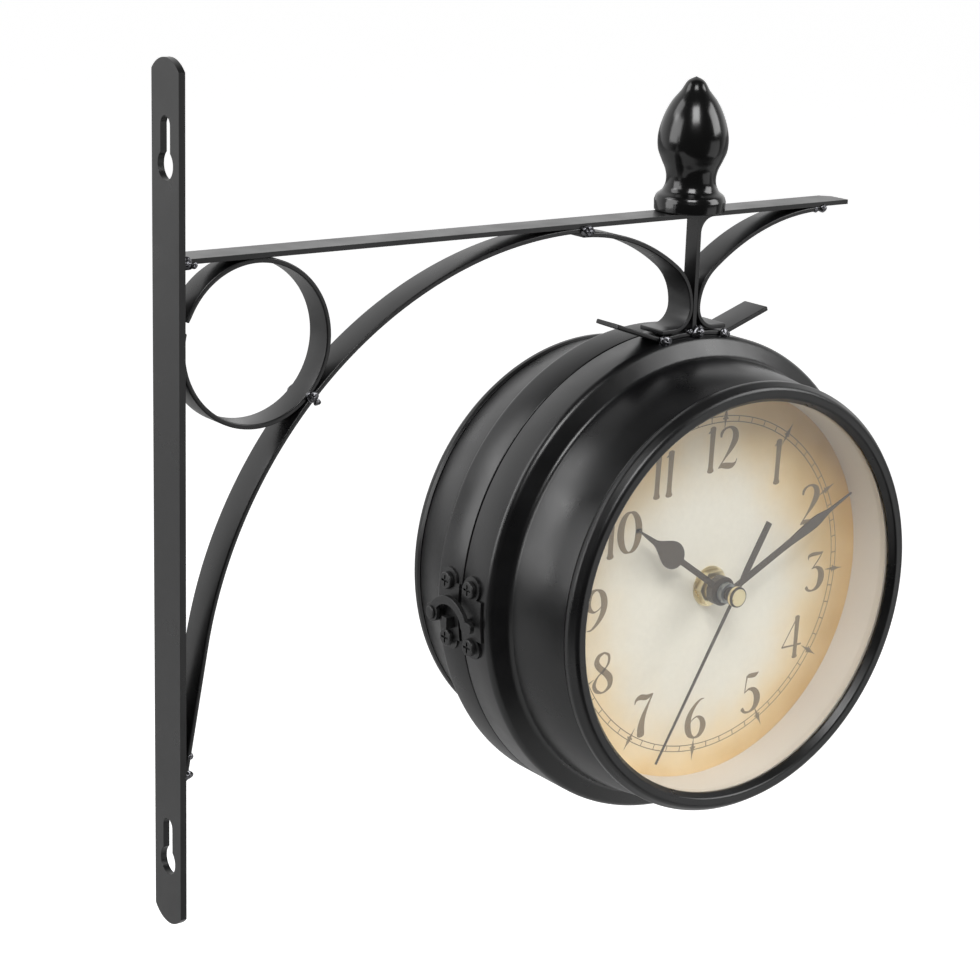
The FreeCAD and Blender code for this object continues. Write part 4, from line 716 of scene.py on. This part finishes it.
# %% [markdown]
# Two scrolls curl from the arm down to the saddle on either side of the post. Each is a wide arc, a
# tighter one and a tuck. The tighter radius is a share of the drop, and the wide one follows from
# how far the scroll drops and reaches.

# %% Scrolls and saddle
def scroll_line(start_x, start_z, reach, tightness):
    """Wide arc R through the angle a, tight arc r for the rest of a quarter turn, then the tuck.

    (R - r)(1 - cos a) = drop - r and (R - r) sin a = reach - r give tan(a / 2) and then R.
    """
    drop = start_z - SADDLE_TOP - SCROLL_TUCK_RADIUS
    tight = drop * tightness
    split = 2 * math.atan2(drop - tight, reach - tight)
    wide = tight + (reach - tight) / math.sin(split)
    return walk((start_x, start_z), 0, [("bend", wide, -math.degrees(split)),
                                        ("bend", tight, math.degrees(split) - 90),
                                        ("bend", SCROLL_TUCK_RADIUS, -90), ("run", SCROLL_FOOT)])


def mirror_line(line):
    """The same line on the other side of the post, walked the same way round."""
    return np.stack([2 * CLOCK_X - line[:, 0], line[:, 1], np.pi - line[:, 2]], -1)


inner_line = scroll_line(brace_end, ARM_UNDERSIDE - BAR_THICKNESS, CLOCK_X - HALF_BAR - brace_end,
                         INNER_SCROLL_TIGHT)
strip("inner_scroll_strip", inner_line, -1, "inner_scroll")
reach = ARM_REACH - OUTER_SCROLL_INSET - CLOCK_X - HALF_BAR
outer_line = mirror_line(scroll_line(CLOCK_X - HALF_BAR - reach, ARM_UNDERSIDE, reach,
                                     OUTER_SCROLL_TIGHT))
strip("outer_scroll_strip", outer_line, 1, "outer_scroll")
wing = [("bend", BAND_RADIUS, -SADDLE_ARC / 2), ("bend", WING_BEND, SADDLE_ARC / 2 + WING_ANGLE),
        ("run", WING_LENGTH)]
right = walk((CLOCK_X, CLOCK_Z + BAND_RADIUS), 0, wing)
left = mirror_line(right)[::-1] - np.array([0.0, 0.0, np.pi])
saddle_line = np.concatenate([left[:-1], right])
strip("saddle_bar", saddle_line, 1, "saddle_strip")
print("scroll and saddle points", len(inner_line), len(outer_line), len(saddle_line))

# %% [markdown]
# The finial is turned from solid bar: a moulded foot, a waist and an acorn that runs to a point. A
# smooth curve through its measured radii, turned about the upright axis, gives the whole shape. The
# curve is a cubic with slopes taken from its neighbours, so that it neither overshoots nor kinks.

# %% Finial
FINIAL_FOOT, FINIAL_FLAT = 11.3, 4.0
FINIAL_PROFILE = np.array([(3.3, 11.4), (4.9, 10.8), (6.5, 9.0), (8.1, 8.2), (10.6, 7.9), (12.8, 8.3),
                           (16.0, 9.7), (19.1, 10.9), (22.3, 11.2), (28.5, 10.0), (34.8, 7.0),
                           (37.9, 4.5), (41.0, 2.4), (42.2, 0.0)])


def smooth_through(points, per_span=8):
    """Cubic Hermite curve through 2-D points, with slopes along the chord of each point's neighbours."""
    chord = np.linalg.norm(np.diff(points, axis=0), axis=1)
    at = np.concatenate([[0], np.cumsum(chord)])
    slope = np.gradient(points, at, axis=0)
    spans = [np.linspace(a, b, per_span, endpoint=False) for a, b in zip(at, at[1:])]
    fine = np.concatenate(spans + [at[-1:]])
    k = np.clip(np.searchsorted(at, fine, side="right") - 1, 0, len(at) - 2)
    h = (at[k + 1] - at[k])[:, None]
    t = (fine - at[k])[:, None] / h
    return ((2 * t ** 3 - 3 * t ** 2 + 1) * points[k] + (t ** 3 - 2 * t ** 2 + t) * h * slope[k]
            + (3 * t ** 2 - 2 * t ** 3) * points[k + 1] + (t ** 3 - t ** 2) * h * slope[k + 1])


curve = smooth_through(FINIAL_PROFILE)[:-1]
foot = rounded([(FINIAL_FLAT, 0.0, 0), (FINIAL_FOOT, 0.0, 0.5), (FINIAL_FOOT, 3.4, 0)], closed=False)
outline = np.concatenate([foot[:-1], curve[:, ::-1]])
radius, height = outline[:, :1], outline[:, 1:]
angle = np.linspace(0, 2 * np.pi, 128, endpoint=False)[None]
grid = spread(CLOCK_X + radius * np.cos(angle), radius * np.sin(angle), ARM_TOP + height)
poles = [(CLOCK_X, 0, ARM_TOP + outline[0, 1]), (CLOCK_X, 0, ARM_TOP + FINIAL_PROFILE[-1, 0])]
dress(closed_mesh("finial_acorn", grid, False, poles), "finial", gloss_enamel)
print("finial height", FINIAL_PROFILE[-1, 0])

# %% [markdown]
# Where strips meet, the welder left small beads, with hardly any coat on them. A bead is a
# squashed ball whose radius ripples: r (1 + 0.12 sin(3a + p) cos(2b) + 0.08 sin(5b + p)), with a
# different phase p for each bead.

# %% Weld beads
BEAD_STRETCH, PHASE_STEP = np.array([1.15, 0.75, 1.0]), 1.7


def bead(middle, size, phase):
    """Rippled ball; a runs round the Y axis, b from pole to pole."""
    a = np.linspace(0, 2 * np.pi, 32, endpoint=False)[None]
    b = np.linspace(0, np.pi, 18)[1:-1, None]
    r = 1 + 0.12 * np.sin(3 * a + phase) * np.cos(2 * b) + 0.08 * np.sin(5 * b + phase)
    ball = spread(r * np.sin(b) * np.cos(a), r * np.cos(b), r * np.sin(b) * np.sin(a))
    tip = size * np.array([0.0, 1 + 0.08 * math.sin(phase), 0.0])
    return closed_mesh("bead", middle + size * ball, False, (middle + tip, middle - tip))


touch = math.atan2(ARM_UNDERSIDE - brace_radius - ring_z, brace_end - ring_x)
touch_x, touch_z = ring_x + ring_radius * math.cos(touch), ring_z + ring_radius * math.sin(touch)
near, far, root = -BAR_WIDTH / 2, BAR_WIDTH / 2, STRAP_THICKNESS + 1.3
outer_end, under = ARM_REACH - OUTER_SCROLL_INSET, ARM_UNDERSIDE
bead_places = [  # x, y, z and size
    (root, near - 0.1, ARM_TOP - 1.2, 1.8), (root + 2.6, near + 0.5, under - 0.3, 1.1),
    (root, far - 0.4, ARM_TOP - 1.2, 1.4), (root + 0.4, near + 0.5, BRACE_FOOT + 1.5, 1.4),
    (root, far - 0.5, BRACE_FOOT + 1.5, 1.4), (root + 1.2, near + 0.5, BRACE_FOOT + 7.0, 1.0),
    (touch_x, near + 0.2, touch_z, 1.7), (touch_x + 2.2, near + 0.8, touch_z - 2.0, 1.0),
    (touch_x, far - 0.6, touch_z, 1.4), (brace_end + 1.0, near - 0.3, under - 0.8, 1.9),
    (brace_end + 3.4, near + 0.5, under - 1.4, 1.0), (brace_end, far - 0.4, under - 0.8, 1.4),
    (outer_end, near + 0.4, under - 0.6, 1.5), (outer_end - 3.0, near + 0.5, under - 0.9, 1.0),
    (outer_end, far - 0.4, under - 0.7, 1.4), (CLOCK_X + 1.5, near - 0.5, SADDLE_TOP - 0.4, 2.1),
    (CLOCK_X - 1.8, near + 0.3, SADDLE_TOP + 0.1, 1.1),
    (CLOCK_X - 12.4, near - 0.5, SADDLE_TOP - 2.0, 2.0),
    (CLOCK_X + 12.6, near - 0.4, SADDLE_TOP - 2.0, 1.8)]
beads = [bead(np.array([x, y, z]), size * BEAD_STRETCH, PHASE_STEP * k)
         for k, (x, y, z, size) in enumerate(bead_places)]
dress(join_meshes("painted_weld_beads", beads), "weld_beads", weld_steel)
print("weld beads", len(beads))

# %% [markdown]
# ## Stamped and moulded pieces
# Strap, arm, post, hands, latch, hinge and the movement keep the shapes of the CAD model. Its
# triangles are loose, so a copy is merged, its flat faces are made whole again, and a Bevel modifier
# rounds each sharp edge by a few tenths of a millimetre.

# %% Softening the edges of the CAD pieces
def softened(node, edge, material, slot):
    """A merged copy of one CAD node with its sharp edges rounded."""
    source = frame["nodes"][node].data
    work = bmesh.new()
    loose = bpy.data.meshes.new("loose")
    loose.from_pydata([v.co for v in source.vertices], [], [list(p.vertices) for p in source.polygons])
    work.from_mesh(loose)
    bmesh.ops.remove_doubles(work, verts=work.verts, dist=1e-6)
    bmesh.ops.dissolve_limit(work, angle_limit=math.radians(1.0), verts=work.verts, edges=work.edges)
    mesh = bpy.data.meshes.new(node + "_soft")
    work.to_mesh(mesh)
    work.free()
    bpy.data.meshes.remove(loose)
    mesh.shade_smooth()
    piece = dress(mesh, node, material)
    rounding = piece.modifiers.new("edge", "BEVEL")
    rounding.width = edge * MM
    rounding.segments = 3
    rounding.limit_method = "ANGLE"
    rounding.angle_limit = math.radians(32)
    rounding.harden_normals = True
    return piece


FITTING = fitting_coat, "steel_fitting"
MOVEMENT = moulded_abs, "movement_plastic"
SOFT_ONCE = [
    ("wall_strap", 0.4, powder_coat, "powder_coat"),
    ("arm_bar hanger_post", 0.35, powder_coat, "powder_coat"),
    ("finial_stud", 0.3, zinc, "steel_fitting")]
SOFT_TWICE = [  # * stands for the side
    ("latch_plate_*", 0.2, *FITTING), ("latch_screws_*", 0.12, *FITTING),
    ("hinge_leaf_*", 0.2, *FITTING), ("hinge_rivets_*", 0.12, *FITTING),
    ("*_hour_hand *_minute_hand *_second_hand", 0.1, hand_paint, "hand_paint"),
    ("*_hex_nut", 0.3, brass, "brass"), ("*_dial_washer", 0.12, brass, "brass"),
    ("*_dial_snap_ring", 0.1, zinc, "spring_wire"), ("*_movement_housing", 0.4, *MOVEMENT),
    ("*_movement_cover", 0.3, *MOVEMENT), ("*_setting_knob", 0.2, *MOVEMENT),
    ("*_battery", 0.2, cell_sleeve, "cell_wrap"), ("*_battery_contacts", 0.1, nickel, "contact_steel")]
SOFT_LAST = [("latch_lever latch_rivet hinge_pin", 0.2, *FITTING)]
for side, rows in (("", SOFT_ONCE), *((side, SOFT_TWICE) for side in DEPTHS), ("", SOFT_LAST)):
    for nodes, *how in rows:
        for node in nodes.replace("*", side).split():
            softened(node, *how)
left_over = [n for n in frame["nodes"] if not frame["nodes"][n].hide_render]
print("CAD nodes still shown", left_over)

# %% [markdown]
# The second hand is pressed into a little brass cap, and a grey steel collar fills the step where
# the minute hand sits on its arbor. Both are turned, and each rides with its own hand.

# %% Cap and collar of the hands
for side, depth in DEPTHS.items():
    face = depth - DIAL_SET_BACK
    front, back = face + CAP_FRONT, face + CAP_BACK
    cap = rounded([(0, front, 0), (CAP_RADIUS, front, 0.8), (CAP_RADIUS + 0.02, back, 0.15),
                   (0, back - 0.05, 0)], closed=False)
    top, foot = face + COLLAR_FRONT, face + COLLAR_BACK
    lip, sleeve = top - 0.15, COLLAR_RADIUS - 0.08
    collar = rounded([(sleeve, foot, 0.1), (COLLAR_RADIUS, foot, 0.1), (COLLAR_RADIUS, top, 0.2),
                      (COLLAR_BORE, top, 0.2), (COLLAR_BORE, lip, 0.05), (sleeve, lip, 0.05)])
    ride_along(turned(side + "_second_cap", cap, side, False, 48), side + "_second_hand", brass)
    ride_along(turned(side + "_minute_collar", collar, side, True, 48), side + "_minute_hand", zinc)
    print(side, "cap front at", round(front, 2), "mm from the seam")

# %% [markdown]
# ## Studio
# The clock hangs before a white background. The world is white behind it and dim on the camera's
# side, as in a studio whose far wall is a lit paper roll: black paint then mirrors white where it
# turns away from the camera and stays deep where it faces it. The soft boxes further down do the
# rest.

# %% World
WHITE = (1.0, 1.0, 1.0, 1.0)
BACKDROP_WAY = (0.42, 0.88, -0.22)
world = bpy.data.worlds.new("studio")
bpy.context.scene.world = world
world.use_nodes = True
tree = world.node_tree
tree.nodes.clear()
way = add(tree, "TexCoord").outputs["Generated"]
behind = add(tree, "VectorMath", {0: way, 1: BACKDROP_WAY}, operation="DOT_PRODUCT")
paper = remap(tree, behind.outputs["Value"], -0.2, 0.6, 0.05, 1.0, "SMOOTHSTEP")
path = add(tree, "LightPath")
seen = add(tree, "Mix", {0: path.outputs["Is Camera Ray"], 2: paper, 3: 1.0})
light = add(tree, "Background", {"Color": WHITE, "Strength": seen.outputs[0]})
add(tree, "OutputWorld", {"Surface": light.outputs[0]})
print("world", world.name, "white towards", BACKDROP_WAY)

# %% [markdown]
# The floor lies well below the clock, since a wall clock stands on nothing. It is matt and pale, and
# a little glow, seen only by the camera and through glass, lifts it to the same white as the
# background. So its edge can't be seen, while a shadow still can. It runs far back and stops short
# on the camera's side, where it would only throw light up into the black paint.

# %% Floor
FLOOR_Z, FLOOR_GLOW, FLOOR_FAR = -0.42, 0.78, 30.0
FLOOR_LEFT, FLOOR_NEAR = -0.9, -0.35
floor_mesh = bpy.data.meshes.new("floor")
corners = [(FLOOR_LEFT, FLOOR_NEAR), (FLOOR_FAR, FLOOR_NEAR), (FLOOR_FAR, FLOOR_FAR),
           (FLOOR_LEFT, FLOOR_FAR)]
floor_mesh.from_pydata([(x, y, FLOOR_Z) for x, y in corners], [], [(0, 1, 2, 3)])
floor = show("floor", floor_mesh)
floor_paint, tree, shader = new_material("matt_pale_floor")
path = add(tree, "LightPath")
direct = add(tree, "Math", {0: path.outputs["Is Camera Ray"], 1: path.outputs["Is Transmission Ray"]},
             operation="MAXIMUM")
glow = add(tree, "Math", {0: direct.outputs[0], 1: FLOOR_GLOW}, operation="MULTIPLY")
feed(tree, shader, {"Base Color": linear("#c6c6c6"), "Roughness": 0.9, "Emission Color": WHITE,
                    "Emission Strength": glow.outputs[0]})
floor_mesh.materials.append(floor_paint)
print("floor at", FLOOR_Z, "m, glow", FLOOR_GLOW)

# %% [markdown]
# Five soft boxes light the clock. A large square lamp makes a broad, soft-edged gleam along a round
# case. Rays that pass the panes don't meet the lamps, so no bright square hangs over a dial. The low
# card is the exception: the brass cap behind the pane has to mirror something bright.

# %% Soft boxes
LAMP_AIM = Vector((0.13, 0.0, -0.02))


def soft_box(name, place, size, watts, through_glass=False):
    """Square area lamp turned towards the clock; place and size are in metres."""
    data = bpy.data.lights.new(name, "AREA")
    data.size = size
    data.energy = watts
    lamp = show(name, data)
    lamp.location = place
    lamp.rotation_euler = (LAMP_AIM - Vector(place)).to_track_quat("-Z", "Y").to_euler()
    lamp.visible_transmission = through_glass
    print("lamp", name, watts, "W")


soft_box("key_high_left", (-0.5, -1.05, 1.25), 0.7, 16.5)
soft_box("fill_high_right", (1.15, -0.85, 0.68), 0.75, 10.5)
soft_box("side_left", (-1.5, 0.45, 0.5), 1.2, 19.0)
soft_box("high_back_left", (-0.95, 0.75, 1.15), 0.8, 7.0)
soft_box("low_front_right", (0.95, -1.05, -0.35), 0.9, 2.4, through_glass=True)

# %% [markdown]
# ## Camera
# The lens and place were found by matching the drum's circles, the strap and the arm in the picture.
# Heading, pitch and a slight roll give three axes at right angles: right, up and back.

# %% Camera
YAW, PITCH, ROLL = (math.radians(v) for v in (-36.871, 15.670, 1.931))
CAMERA_PLACE, LENS = Vector((-316.42, -572.57, 191.08)) * MM, 88.51
back = Vector((math.sin(YAW) * math.cos(PITCH), -math.cos(YAW) * math.cos(PITCH), math.sin(PITCH)))
level = Vector((math.cos(YAW), math.sin(YAW), 0.0))
upright = back.cross(level)
right_axis = math.cos(ROLL) * level + math.sin(ROLL) * upright
up_axis = math.cos(ROLL) * upright - math.sin(ROLL) * level
camera_data = bpy.data.cameras.new("camera")
camera_data.lens = LENS
camera_data.sensor_width = 36.0
camera_data.clip_end = 200.0
camera = show("camera", camera_data)
turn = Matrix((right_axis, up_axis, back)).transposed().to_4x4()
camera.matrix_world = Matrix.Translation(CAMERA_PLACE) @ turn
bpy.context.scene.camera = camera
bpy.context.scene.view_settings.view_transform = "Standard"
print("camera at", [round(v, 3) for v in CAMERA_PLACE], "lens", LENS, "mm")
